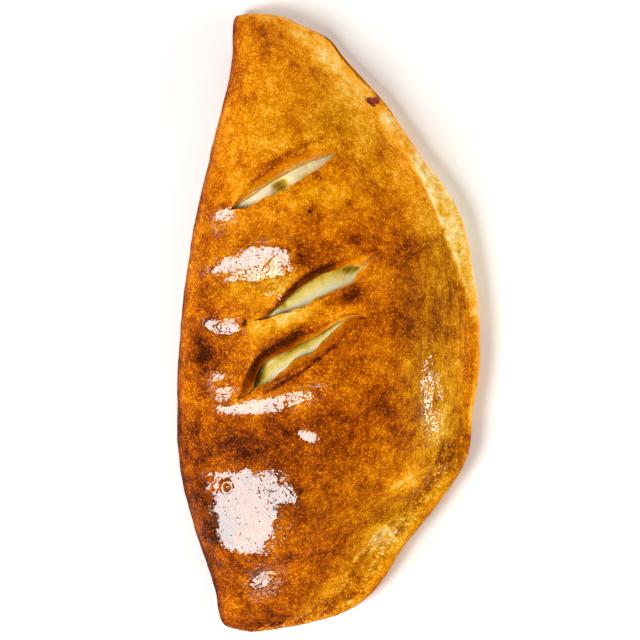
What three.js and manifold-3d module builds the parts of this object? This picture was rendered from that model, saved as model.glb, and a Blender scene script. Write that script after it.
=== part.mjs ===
// Calzone: a round of pizza dough folded over a cheese filling and baked whole.
//
// The crust is one domed shell. The dough is folded along the left side (-X), and a rolled seam closes
// the right side (+X), from the far end round to the near end. Three knife slits across the top opened
// in the oven: each has a sloping cut wall through the dough and shows the cheese underneath. The cheese
// filling lies loose in the shell and sags away from the crust below the two larger slits.
//
// Frame: millimetres, +Z up, +Y along the length towards the far end. The origin is under the middle of
// the footprint, on the flat face that the calzone rests on.

import * as THREE from "three";
import { mergeVertices } from "three/addons/utils/BufferGeometryUtils.js";
import Module from "manifold-3d";

// ---- Driving dimensions, in millimetres
const LENGTH = 316; // from tip to tip
const WIDTH = 154; // across the widest part, seam included
const HEIGHT = 52; // to the crown, without the swells
const FOLD_HEIGHT = 17; // height of the widest point of the folded side
const SEAM_HEIGHT = 12; // height of the widest point of the side with the seam
const BASE_INSET = 11; // how far the flat underside lies inside the outline
const CRUST = 5; // baked dough over the filling
const FLOOR = 6; // baked dough under the filling
const SEAM_WIDTH = { far: 14, near: 20 }; // the rolled seam along the right side
const SEAM_WIDENS = [0, -60]; // it goes from the one width to the other between these places along
const SEAM_CREST = 0.5; // share of its width from the outside where the roll stands highest
const SEAM_RISE = 7; // height of the roll above the widest point of that side
const SEAM_BLEND = 6; // softness of the valley between the roll and the dome
const GAP = 0.4; // between the filling and the crust
const DOME_POWER = 2.1; // 2 is an ellipse, and more is flatter on top with steeper sides
const SEAM_EASE = 0.7; // 0 is as steep towards the seam as towards the fold, and 1 is a parabola

// ---- How finely the surfaces are cut
const BODY_RINGS = 78;
const DOME_STEPS = 26;
const ROLL_STEPS = 8;
const BEND_STEPS = 3;
const FLAT_STEPS = 3;
const CAVITY_RINGS = 30;
const CAVITY_TOP_STEPS = 18;
const SLIT_STEPS = 18;

// Stations from the far tip to the near tip. Along is a share of half the length, left, right and
// crown are places across as shares of half the width, and high, side and under are heights of the
// crown, of the sides' widest points and of the underside, as shares of HEIGHT, of FOLD_HEIGHT and
// SEAM_HEIGHT, and of SEAM_HEIGHT. Roll is how much of the seam's roll stands up there: it is low along
// the far half, where the dough was stretched thin, and full at the near end.
const STATIONS = [
  { along: 1.0, left: -0.546, right: -0.375, crown: -0.46, high: 0.17, side: 0.4, under: 0.3, roll: 0 },
  { along: 0.992, left: -0.612, right: -0.296, crown: -0.44, high: 0.26, side: 0.42, under: 0.22, roll: 0 },
  { along: 0.97, left: -0.635, right: -0.204, crown: -0.42, high: 0.36, side: 0.48, under: 0.12, roll: 0.03 },
  { along: 0.918, left: -0.638, right: 0.0, crown: -0.38, high: 0.47, side: 0.58, under: 0.03, roll: 0.08 },
  { along: 0.841, left: -0.646, right: 0.125, crown: -0.33, high: 0.58, side: 0.7, under: 0, roll: 0.16 },
  { along: 0.713, left: -0.691, right: 0.362, crown: -0.25, high: 0.73, side: 0.85, under: 0, roll: 0.28 },
  { along: 0.553, left: -0.776, right: 0.586, crown: -0.15, high: 0.86, side: 0.95, under: 0, roll: 0.42 },
  { along: 0.361, left: -0.868, right: 0.855, crown: -0.06, high: 0.95, side: 1, under: 0, roll: 0.5 },
  { along: 0.136, left: -0.944, right: 0.964, crown: 0.0, high: 1, side: 1, under: 0, roll: 0.5 },
  { along: -0.088, left: -0.987, right: 1.0, crown: 0.0, high: 1, side: 1, under: 0, roll: 0.42 },
  { along: -0.28, left: -0.997, right: 0.954, crown: -0.03, high: 0.98, side: 1, under: 0, roll: 0.42 },
  { along: -0.441, left: -0.99, right: 0.908, crown: -0.08, high: 0.94, side: 1, under: 0, roll: 0.6 },
  { along: -0.585, left: -0.928, right: 0.72, crown: -0.16, high: 0.86, side: 0.95, under: 0, roll: 0.9 },
  { along: -0.729, left: -0.842, right: 0.487, crown: -0.26, high: 0.73, side: 0.88, under: 0, roll: 1 },
  { along: -0.857, left: -0.753, right: 0.322, crown: -0.34, high: 0.57, side: 0.74, under: 0, roll: 1 },
  { along: -0.931, left: -0.734, right: 0.132, crown: -0.4, high: 0.45, side: 0.6, under: 0.03, roll: 0.85 },
  { along: -0.976, left: -0.704, right: -0.15, crown: -0.45, high: 0.34, side: 0.48, under: 0.12, roll: 0.5 },
  { along: -0.995, left: -0.632, right: -0.388, crown: -0.5, high: 0.24, side: 0.42, under: 0.22, roll: 0.2 },
  { along: -1.0, left: -0.553, right: -0.474, crown: -0.51, high: 0.17, side: 0.4, under: 0.3, roll: 0 },
];

// Knife slits, each from its left tip to its right tip. Upper and lower are how far its edges bow out
// on the far side and on the near side at the middle, on the outside of the crust and inside it.
const SLITS = [
  {
    name: "far", from: [-49.2, 56], to: [4.1, 83.9],
    upper: 8, lower: 2.8, innerUpper: 3.8, innerLower: 2.6,
  },
  {
    name: "middle", from: [-37.5, 0.8], to: [25.1, 36.3],
    upper: 6.4, lower: 5.6, innerUpper: 4.2, innerLower: 5,
  },
  {
    name: "near", from: [-45.1, -38.3], to: [18.8, 2.3],
    upper: 11, lower: 2.8, innerUpper: 7.6, innerLower: -1.4,
  },
];
const SLIT_LIP = 1.3; // how much the crust swells beside a slit
const SLIT_LIP_REACH = 6;

// Swells and hollows of the top: at is the middle, size the reach along and across, turn the angle of
// the long axis from +X in degrees, and rise the height, negative for a hollow.
const SWELLS = [
  { name: "roll between the slits", at: [-3, 5.5], size: [26, 6], turn: 29, rise: 3 },
  { name: "hollow above the near slit", at: [-22, -11], size: [22, 6], turn: 30, rise: -2.5 },
  { name: "roll below the near slit", at: [-14, -36], size: [34, 7], turn: 25, rise: 2 },
  { name: "bubble left of the middle slit", at: [-32, 26], size: [22, 11], turn: 10, rise: 2 },
  { name: "flat of the near left", at: [-38, -92], size: [24, 26], turn: 80, rise: 2.5 },
  { name: "dimple on the fold", at: [-62, -15], size: [10, 8], turn: 0, rise: -1.5 },
  { name: "valley inside the seam", at: [50, -45], size: [50, 7], turn: 95, rise: -2.5 },
  { name: "valley to the near end", at: [28, -103], size: [48, 6], turn: 48, rise: -2 },
  { name: "shoulder at the far end", at: [-30, 135], size: [16, 12], turn: 70, rise: 1.5 },
  { name: "pinch in the seam", at: [32, -112], size: [11, 3], turn: -35, rise: -3 },
  { name: "pinch at the near corner", at: [58, -82], size: [12, 4], turn: -40, rise: -1.5 },
  { name: "pinch at the far seam", at: [62, 44], size: [10, 4], turn: 20, rise: -1.5 },
];

// Sauce that boiled out of a pinhole near the far seam and baked on, as two small drops.
const SAUCE_DROPS = [
  { at: [21, 112.6], radius: 1.5 },
  { at: [23.4, 112.3], radius: 1.7 },
];

// ---- The filling
const CAVITY_ALONG = [-0.82, 0.8]; // the cavity's near and far end, as shares of the half length
const CAVITY_SIDE = 9; // dough between the cavity and the fold
const CAVITY_SEAM_SIDE = 19.5; // dough between the cavity and the outside of the seam
const CAVITY_POWER = 4; // how bluntly the cavity's ends close
const FILLING_DROP = 0.8; // the filling's top below the inside of the crust
const TROUGH_DEPTH = { far: 0.4, middle: 2.5, near: 3.5 }; // extra sag below each slit
const TROUGH_MIDDLE = { far: 0, middle: 1.5, near: 5 }; // from the line between the slit's tips
const TROUGH_REACH = 7;
const CHEESE_HOLE = { at: [-24, 68.2], size: [4.4, 2.6], turn: 28, rise: -4.5 }; // torn in its skin

const halfLength = LENGTH / 2;
const halfWidth = WIDTH / 2;

// One of the lengthwise lines that the body is lofted over. All of them share the stations' places
// along, so that one parameter gives the same place on each.
function stationLine(across, height) {
  const points = STATIONS.map(
    (s) => new THREE.Vector3(across(s) * halfWidth, s.along * halfLength, height(s)),
  );
  return new THREE.CatmullRomCurve3(points, false, "catmullrom", 0.5);
}

const foldLine = stationLine((s) => s.left, (s) => s.side * FOLD_HEIGHT);
const seamLine = stationLine((s) => s.right, (s) => s.side * SEAM_HEIGHT);
const crownLine = stationLine((s) => s.crown, (s) => s.high * HEIGHT);
const underLine = stationLine((s) => s.crown, (s) => s.under * SEAM_HEIGHT);
const rollLine = stationLine((s) => s.right, (s) => s.roll);

// The lines' parameter at a place along, found by halving, because the stations aren't evenly spaced.
function parameterAt(y) {
  let far = 0;
  let near = 1;
  for (let i = 0; i < 24; i++) {
    const middle = (far + near) / 2;
    if (crownLine.getPoint(middle).y > y) far = middle;
    else near = middle;
  }
  return (far + near) / 2;
}

function smoothstep(value, from, to) {
  return THREE.MathUtils.smoothstep((value - from) / (to - from), 0, 1);
}

// The larger of two heights, with a rounded valley where they meet.
function blendUp(a, b, softness) {
  return (a + b + Math.hypot(a - b, softness)) / 2;
}

// Height of a swell over the place x, y.
function swellAt(swell, x, y) {
  const turn = THREE.MathUtils.degToRad(swell.turn);
  const dx = x - swell.at[0];
  const dy = y - swell.at[1];
  const along = (dx * Math.cos(turn) + dy * Math.sin(turn)) / swell.size[0];
  const across = (dy * Math.cos(turn) - dx * Math.sin(turn)) / swell.size[1];
  return swell.rise * Math.exp(-along * along - across * across);
}

// Place of x, y in a slit's own frame: share of the way from its left tip, and distance to its far side.
function inSlit(slit, x, y) {
  const chord = new THREE.Vector2(slit.to[0] - slit.from[0], slit.to[1] - slit.from[1]);
  const from = new THREE.Vector2(x - slit.from[0], y - slit.from[1]);
  const length = chord.length();
  return {
    share: chord.dot(from) / (length * length),
    offset: (chord.x * from.y - chord.y * from.x) / length,
  };
}

// How far a slit's edge bows out at a share of its length: nothing at the tips, most at the middle.
function bow(share) {
  return share > 0 && share < 1 ? Math.pow(4 * share * (1 - share), 0.8) : 0;
}

// The crust swells beside a slit's edges.
function slitLip(slit, x, y) {
  const { share, offset } = inSlit(slit, x, y);
  const open = bow(share);
  const beside = offset > 0 ? offset - slit.upper * open : -offset - slit.lower * open;
  const near = Math.max(0, beside) / SLIT_LIP_REACH;
  return SLIT_LIP * open * Math.exp(-near * near);
}

function relief(x, y) {
  const swells = SWELLS.reduce((sum, swell) => sum + swellAt(swell, x, y), 0);
  return SLITS.reduce((sum, slit) => sum + slitLip(slit, x, y), swells);
}

// A dome's rise at a share of the way from its foot to its crown.
function dome(share) {
  const rest = 1 - THREE.MathUtils.clamp(share, 0, 1);
  return Math.pow(1 - Math.pow(rest, DOME_POWER), 1 / DOME_POWER);
}

// The dome comes down more gently towards the seam.
function seamDome(share) {
  const rest = 1 - THREE.MathUtils.clamp(share, 0, 1);
  return THREE.MathUtils.lerp(dome(share), 1 - rest * rest, SEAM_EASE);
}

// Profile of the seam's roll over a share of its width from the outside: round outside, and easing
// into the dome inside.
function rollAt(share) {
  const fromCrest = (SEAM_CREST - share) / SEAM_CREST;
  return share < SEAM_CREST ? Math.sqrt(1 - fromCrest * fromCrest) : smoothstep(share, 1.1, SEAM_CREST);
}

// The lines' places where the body is cut across at a parameter.
function crossing(t) {
  const fold = foldLine.getPoint(t);
  const seam = seamLine.getPoint(t);
  return {
    y: fold.y,
    left: fold.x,
    right: seam.x,
    foldSide: fold.z,
    seamSide: seam.z,
    crown: crownLine.getPoint(t),
    under: Math.max(0, underLine.getPoint(t).z),
    roll: Math.max(0, rollLine.getPoint(t).z),
  };
}

// The seam is wider along the near half, and narrows towards the tips.
function seamWidth(cut) {
  const width = THREE.MathUtils.lerp(SEAM_WIDTH.far, SEAM_WIDTH.near, smoothstep(cut.y, ...SEAM_WIDENS));
  return Math.min(width, (cut.right - cut.left) * 0.25);
}

// Height of the smooth top over x, where the body is cut across: the dome, and on the right the roll.
function smoothTop(cut, x) {
  if (x <= cut.crown.x) {
    const rise = cut.crown.z - cut.foldSide;
    return cut.foldSide + rise * dome((x - cut.left) / (cut.crown.x - cut.left));
  }
  const rise = cut.crown.z - cut.seamSide;
  const fromEdge = cut.right - x;
  const foot = seamWidth(cut) * 0.8 * cut.roll;
  const domed = cut.seamSide + rise * seamDome((fromEdge - foot) / (cut.right - cut.crown.x - foot));
  const place = fromEdge / seamWidth(cut);
  const rolled = cut.seamSide + SEAM_RISE * cut.roll * rollAt(place);
  return blendUp(domed, rolled, SEAM_BLEND * cut.roll * dome(place));
}

// Height of the top with its swells, which fade out towards the sides.
function topAt(cut, x) {
  const fromSide = Math.min(x - cut.left, cut.right - x);
  return smoothTop(cut, x) + relief(x, cut.y) * smoothstep(fromSide, 0, 12);
}

function topOver(x, y) {
  return topAt(crossing(parameterAt(y)), x);
}

// Rings of equal length joined into a closed solid, with a fan over each end. The rings go round
// clockwise as seen from the first of them towards the last.
function loft(rings) {
  const count = rings[0].length;
  const points = rings.flat();
  const faces = [];
  for (let r = 0; r + 1 < rings.length; r++) {
    for (let i = 0; i < count; i++) {
      const a = r * count + i;
      const b = r * count + ((i + 1) % count);
      faces.push(a, b, b + count, a, b + count, a + count);
    }
  }
  [0, rings.length - 1].forEach((end) => {
    const middle = rings[end].reduce((sum, p) => sum.add(p), new THREE.Vector3());
    const hub = points.push(middle.divideScalar(count)) - 1;
    for (let i = 0; i < count; i++) {
      const a = end * count + i;
      const b = end * count + ((i + 1) % count);
      if (end === 0) faces.push(hub, b, a);
      else faces.push(hub, a, b);
    }
  });
  return new THREE.BufferGeometry().setFromPoints(points).setIndex(faces);
}

// Even shares from 0 to 1, moved closer together towards both ends.
function closerAtEnds(share) {
  return (1 - Math.cos(Math.PI * share)) / 2;
}

// ---- Body of the crust, as if it were solid
function bodyRing(t) {
  const cut = crossing(t);
  const ring = [];
  const inset = Math.min(BASE_INSET, (cut.right - cut.left) * 0.3);
  const valley = cut.right - seamWidth(cut);
  ring.push(new THREE.Vector3(cut.left, cut.y, cut.foldSide));
  for (let i = 1; i < DOME_STEPS; i++) {
    const x = THREE.MathUtils.lerp(cut.left, valley, closerAtEnds(i / DOME_STEPS));
    ring.push(new THREE.Vector3(x, cut.y, topAt(cut, x)));
  }
  for (let i = 0; i < ROLL_STEPS; i++) {
    const x = THREE.MathUtils.lerp(valley, cut.right, closerAtEnds(i / ROLL_STEPS));
    ring.push(new THREE.Vector3(x, cut.y, topAt(cut, x)));
  }
  ring.push(new THREE.Vector3(cut.right, cut.y, cut.seamSide));
  const bend = (side, outward, height, step) => {
    const angle = (Math.PI / 2) * (step / (BEND_STEPS + 1));
    const x = side - outward * inset * (1 - Math.cos(angle));
    return new THREE.Vector3(x, cut.y, THREE.MathUtils.lerp(height, cut.under, Math.sin(angle)));
  };
  for (let i = 1; i <= BEND_STEPS; i++) ring.push(bend(cut.right, 1, cut.seamSide, i));
  for (let i = 0; i <= FLAT_STEPS; i++) {
    const x = THREE.MathUtils.lerp(cut.right - inset, cut.left + inset, i / FLAT_STEPS);
    ring.push(new THREE.Vector3(x, cut.y, cut.under));
  }
  for (let i = BEND_STEPS; i >= 1; i--) ring.push(bend(cut.left, -1, cut.foldSide, i));
  return ring;
}

function crustBody() {
  const rings = [];
  for (let i = 0; i <= BODY_RINGS; i++) {
    // closer together towards the rounded tips
    const even = i / BODY_RINGS;
    const along = (2 * even - 1) * 0.65 - Math.cos(Math.PI * even) * 0.35;
    rings.push(bodyRing(parameterAt(along * halfLength)));
  }
  return loft(rings);
}

// ---- The room inside, which the filling takes up
// Extra is how far the surface lies inside the cavity's wall, and drop lowers its top over x, y.
function cavityRing(share, extra, drop) {
  const [near, far] = CAVITY_ALONG;
  const reach = ((far - near) / 2) * halfLength - extra;
  const y = ((far + near) / 2) * halfLength - Math.cos(share * Math.PI) * reach;
  const cut = crossing(parameterAt(y));
  const close = Math.pow(1 - Math.pow(Math.abs(Math.cos(share * Math.PI)), CAVITY_POWER), 1 / 2);
  const middle = (cut.left + cut.right) / 2;
  const left = THREE.MathUtils.lerp(middle, cut.left + CAVITY_SIDE + extra, close);
  const seamSide = cut.right - CAVITY_SEAM_SIDE - extra;
  const right = THREE.MathUtils.lerp(middle, seamSide, close);
  const bottom = FLOOR + extra;
  const side = Math.max(bottom + 1, (cut.foldSide + cut.seamSide) / 2 - 3);
  const ring = [];
  for (let i = 0; i <= CAVITY_TOP_STEPS; i++) {
    const x = THREE.MathUtils.lerp(left, right, closerAtEnds(i / CAVITY_TOP_STEPS));
    const under = topAt(cut, x) - CRUST - extra - drop(x, y);
    const edge = dome(Math.min(x - left, right - x) / 12);
    ring.push(new THREE.Vector3(x, y, THREE.MathUtils.lerp(side, Math.max(under, side), edge * close)));
  }
  const rounding = 6 * close;
  ring.push(new THREE.Vector3(right - rounding, y, bottom));
  ring.push(new THREE.Vector3(left + rounding, y, bottom));
  return ring;
}

function cavityLoft(extra, drop) {
  const rings = [];
  for (let i = 0; i <= CAVITY_RINGS; i++) {
    const share = THREE.MathUtils.clamp(i / CAVITY_RINGS, 0.03, 0.97);
    rings.push(cavityRing(share, extra, drop));
  }
  return loft(rings);
}

// The filling sags below each slit.
function sag(x, y) {
  const troughs = SLITS.reduce((sum, slit) => {
    const { share, offset } = inSlit(slit, x, y);
    const away = Math.max(0, Math.abs(share - 0.5) - 0.42) * 60;
    const far = Math.hypot(offset - TROUGH_MIDDLE[slit.name], away) / TROUGH_REACH;
    return sum + TROUGH_DEPTH[slit.name] * Math.exp(-far * far);
  }, FILLING_DROP);
  return troughs - swellAt(CHEESE_HOLE, x, y);
}

// ---- Slits
// A lens-shaped ring round a slit, at a height from the surface of the crust. The inward share moves its
// edges from the outer opening to the inner one, and past the outer one where it is negative.
function slitRing(slit, inward, lift) {
  const from = new THREE.Vector2(...slit.from);
  const chord = new THREE.Vector2(...slit.to).sub(from);
  const across = new THREE.Vector2(-chord.y, chord.x).normalize();
  const edge = (outer, inner, i) => {
    const share = i / SLIT_STEPS;
    const offset = THREE.MathUtils.lerp(outer, inner, inward) * bow(share);
    const place = from.clone().addScaledVector(chord, share).addScaledVector(across, offset);
    return new THREE.Vector3(place.x, place.y, topOver(place.x, place.y) + lift);
  };
  const ring = [];
  for (let i = 0; i <= SLIT_STEPS; i++) ring.push(edge(slit.upper, slit.innerUpper, i));
  for (let i = SLIT_STEPS - 1; i > 0; i--) ring.push(edge(-slit.lower, -slit.innerLower, i));
  return ring;
}

function slitCutter(slit) {
  const above = CRUST * 1.2;
  return loft([
    slitRing(slit, -above / CRUST, above),
    slitRing(slit, 0, 0),
    slitRing(slit, 1, -CRUST),
    slitRing(slit, 1, -2 * CRUST),
  ]);
}

// ---- Drops of sauce
function sauceDrop({ at: [x, y], radius }) {
  const drop = new THREE.SphereGeometry(radius, 8, 6);
  return drop.scale(1, 1, 0.7).translate(x, y, topOver(x, y) + radius * 0.2);
}

// ---- Cutting and joining
const wasm = await Module();
wasm.setup();

function toSolid(geometry) {
  const plain = geometry.clone();
  plain.deleteAttribute("normal");
  plain.deleteAttribute("uv");
  const merged = mergeVertices(plain, 1e-4);
  const mesh = new wasm.Mesh({
    numProp: 3,
    vertProperties: new Float32Array(merged.attributes.position.array),
    triVerts: new Uint32Array(merged.index.array),
  });
  return new wasm.Manifold(mesh);
}

function toGeometry(solid) {
  const mesh = solid.getMesh();
  const geometry = new THREE.BufferGeometry();
  geometry.setAttribute("position", new THREE.BufferAttribute(mesh.vertProperties, 3));
  geometry.setIndex(new THREE.BufferAttribute(mesh.triVerts, 1));
  geometry.computeVertexNormals();
  return geometry;
}

function crustGeometry() {
  let crust = toSolid(crustBody()).subtract(toSolid(cavityLoft(0, () => 0)));
  for (const slit of SLITS) crust = crust.subtract(toSolid(slitCutter(slit)));
  for (const drop of SAUCE_DROPS) crust = crust.add(toSolid(sauceDrop(drop)));
  return toGeometry(crust);
}

// ---- The calzone
const bakedDough = new THREE.MeshStandardMaterial({ color: 0xc9781a, roughness: 0.38, metalness: 0 });
const meltedCheese = new THREE.MeshStandardMaterial({ color: 0xe6d28a, roughness: 0.45, metalness: 0 });

const crust = new THREE.Mesh(crustGeometry(), bakedDough);
crust.name = "crust";

const filling = new THREE.Mesh(cavityLoft(GAP, sag), meltedCheese);
filling.geometry.computeVertexNormals();
filling.name = "cheese_filling";

const calzone = new THREE.Group();
calzone.add(crust, filling);

export default calzone;
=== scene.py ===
# A calzone: a baked crust folded over a melted cheese filling, with three slits across its top and
# two drops of baked sauce on its seam. It lies on a pale floor and is looked at from straight above.
import math

import bpy
import numpy as np
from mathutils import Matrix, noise


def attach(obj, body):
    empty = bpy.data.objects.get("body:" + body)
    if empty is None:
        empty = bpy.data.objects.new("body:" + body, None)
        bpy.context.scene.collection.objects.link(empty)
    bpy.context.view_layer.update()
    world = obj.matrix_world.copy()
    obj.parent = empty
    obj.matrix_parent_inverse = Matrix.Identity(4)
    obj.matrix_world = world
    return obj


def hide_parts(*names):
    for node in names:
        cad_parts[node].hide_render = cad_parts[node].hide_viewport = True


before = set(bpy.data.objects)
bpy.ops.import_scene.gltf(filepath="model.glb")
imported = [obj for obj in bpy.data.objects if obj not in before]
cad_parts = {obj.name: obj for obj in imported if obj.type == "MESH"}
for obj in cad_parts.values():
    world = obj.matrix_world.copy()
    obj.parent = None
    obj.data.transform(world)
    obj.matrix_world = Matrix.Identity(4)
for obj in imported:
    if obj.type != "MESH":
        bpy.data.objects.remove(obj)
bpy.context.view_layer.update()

# ---- The crust
# The crust is a round of wheat dough, folded over the filling along its left side and rolled
# together with itself along its right side. It was slit three times across the top, brushed with
# oil and baked until it rose into a dome, and it lies on its flat underside.

# Lengths are in millimetres, and are turned into metres where the mesh is made.
LENGTH = 316
WIDTH = 154
HEIGHT = 52
FOLD_HEIGHT = 17  # height at which the fold on the left turns under
SEAM_HEIGHT = 12  # and the seam on the right
BASE_INSET = 11  # how far the sides turn in under the body
BASE_SHARE = 0.3  # and at most, at the tips, as a share of the width
CRUST = 5  # thickness of the top
FLOOR = 6  # thickness of the underside
SEAM_WIDTHS = (14, 20)  # along the far half and along the near half
SEAM_WIDENS = (0, -60)  # the roll goes from one width to the other between these places
SEAM_SHARE = 0.25  # and at most, at the tips, as a share of the width
SEAM_CREST = 0.5  # where the roll is highest, as a share of its width
SEAM_FOOT = 0.8  # where the dome would come down on it
SEAM_END = 1.1  # where it has run out under the dome
SEAM_RISE = 7
SEAM_BLEND = 6  # how softly the roll runs into the dome
DOME_POWER = 2.1  # 2 is an ellipse, and more is fuller
SEAM_EASE = 0.7  # how far the dome's right side goes from that towards a gentler slope
OUTLINE_STEPS = 8000

# Stations from the far tip to the near tip. The place along and the underside, sides and crown are
# shares of the sizes above, and the last column is how much of the seam's roll stands up.
PARTS = ("along", "left", "right", "crown", "high", "side", "under", "roll")
STATIONS = np.array([
    (1.0, -0.546, -0.375, -0.46, 0.17, 0.4, 0.3, 0),
    (0.992, -0.612, -0.296, -0.44, 0.26, 0.42, 0.22, 0),
    (0.97, -0.635, -0.204, -0.42, 0.36, 0.48, 0.12, 0.03),
    (0.918, -0.638, 0.0, -0.38, 0.47, 0.58, 0.03, 0.08),
    (0.841, -0.646, 0.125, -0.33, 0.58, 0.7, 0, 0.16),
    (0.713, -0.691, 0.362, -0.25, 0.73, 0.85, 0, 0.28),
    (0.553, -0.776, 0.586, -0.15, 0.86, 0.95, 0, 0.42),
    (0.361, -0.868, 0.855, -0.06, 0.95, 1, 0, 0.5),
    (0.136, -0.944, 0.964, 0.0, 1, 1, 0, 0.5),
    (-0.088, -0.987, 1.0, 0.0, 1, 1, 0, 0.42),
    (-0.28, -0.997, 0.954, -0.03, 0.98, 1, 0, 0.42),
    (-0.441, -0.99, 0.908, -0.08, 0.94, 1, 0, 0.6),
    (-0.585, -0.928, 0.72, -0.16, 0.86, 0.95, 0, 0.9),
    (-0.729, -0.842, 0.487, -0.26, 0.73, 0.88, 0, 1),
    (-0.857, -0.753, 0.322, -0.34, 0.57, 0.74, 0, 1),
    (-0.931, -0.734, 0.132, -0.4, 0.45, 0.6, 0.03, 0.85),
    (-0.976, -0.704, -0.15, -0.45, 0.34, 0.48, 0.12, 0.5),
    (-0.995, -0.632, -0.388, -0.5, 0.24, 0.42, 0.22, 0.2),
    (-1.0, -0.553, -0.474, -0.51, 0.17, 0.4, 0.3, 0),
])


def smooth_line(values, place):
    """A smooth line through the stations' values, at places counted in stations."""
    slope = np.gradient(values)
    i = np.clip(np.floor(place).astype(int), 0, len(values) - 2)
    t = place - i
    rise = values[i + 1] - values[i]
    return (values[i] + t * slope[i] + t * t * (3 * rise - 2 * slope[i] - slope[i + 1])
            + t * t * t * (slope[i] + slope[i + 1] - 2 * rise))


places = np.linspace(len(STATIONS) - 1, 0, OUTLINE_STEPS)
outline = {part: smooth_line(column, places) for part, column in zip(PARTS, STATIONS.T)}


def across(y, part, size):
    """One part of the outline where the body is cut across at y."""
    return np.interp(y, outline["along"] * LENGTH / 2, outline[part]) * size


def left_side(y):
    return across(y, "left", WIDTH / 2)


def right_side(y):
    return across(y, "right", WIDTH / 2)


def fold_side(y):
    return across(y, "side", FOLD_HEIGHT)


def seam_side(y):
    return across(y, "side", SEAM_HEIGHT)


def smoothstep(value, start, end):
    """0 up to the start and 1 from the end, with a smooth S between them."""
    t = np.clip((value - start) / (end - start), 0, 1)
    return t * t * (3 - 2 * t)


def dome(share):
    """A dome's rise at a share of the way from its foot to its crown."""
    rest = 1 - np.clip(share, 0, 1)
    return np.maximum(0, 1 - rest ** DOME_POWER) ** (1 / DOME_POWER)


def seam_dome(share):
    """The dome comes down more gently towards the seam."""
    rest = 1 - np.clip(share, 0, 1)
    return dome(share) + (1 - rest * rest - dome(share)) * SEAM_EASE


def seam_width(y, left, right):
    """Width of the seam's roll, which narrows towards the tips."""
    far, near = SEAM_WIDTHS
    return np.minimum(far + (near - far) * smoothstep(y, *SEAM_WIDENS), (right - left) * SEAM_SHARE)


def dome_top(x, y):
    """Height of the smooth top: the dome, and the roll of the seam on its right."""
    left, right, crown = left_side(y), right_side(y), across(y, "crown", WIDTH / 2)
    high, roll = across(y, "high", HEIGHT), np.maximum(0, across(y, "roll", 1))
    fold, seam = fold_side(y), seam_side(y)
    folded = fold + (high - fold) * dome((x - left) / (crown - left))
    from_edge = np.maximum(right - x, 0)
    wide = seam_width(y, left, right)
    foot = wide * SEAM_FOOT * roll
    domed = seam + (high - seam) * seam_dome((from_edge - foot) / (right - crown - foot))
    place = from_edge / wide
    outer = np.sqrt(np.clip(1 - (1 - place / SEAM_CREST) ** 2, 0, 1))
    rolled = seam + SEAM_RISE * roll * np.where(place < SEAM_CREST, outer,
                                                smoothstep(place, SEAM_END, SEAM_CREST))
    softness = SEAM_BLEND * roll * dome(place)
    blended = (domed + rolled + np.hypot(domed - rolled, softness)) / 2
    return np.where(x <= crown, folded, blended)


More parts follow.
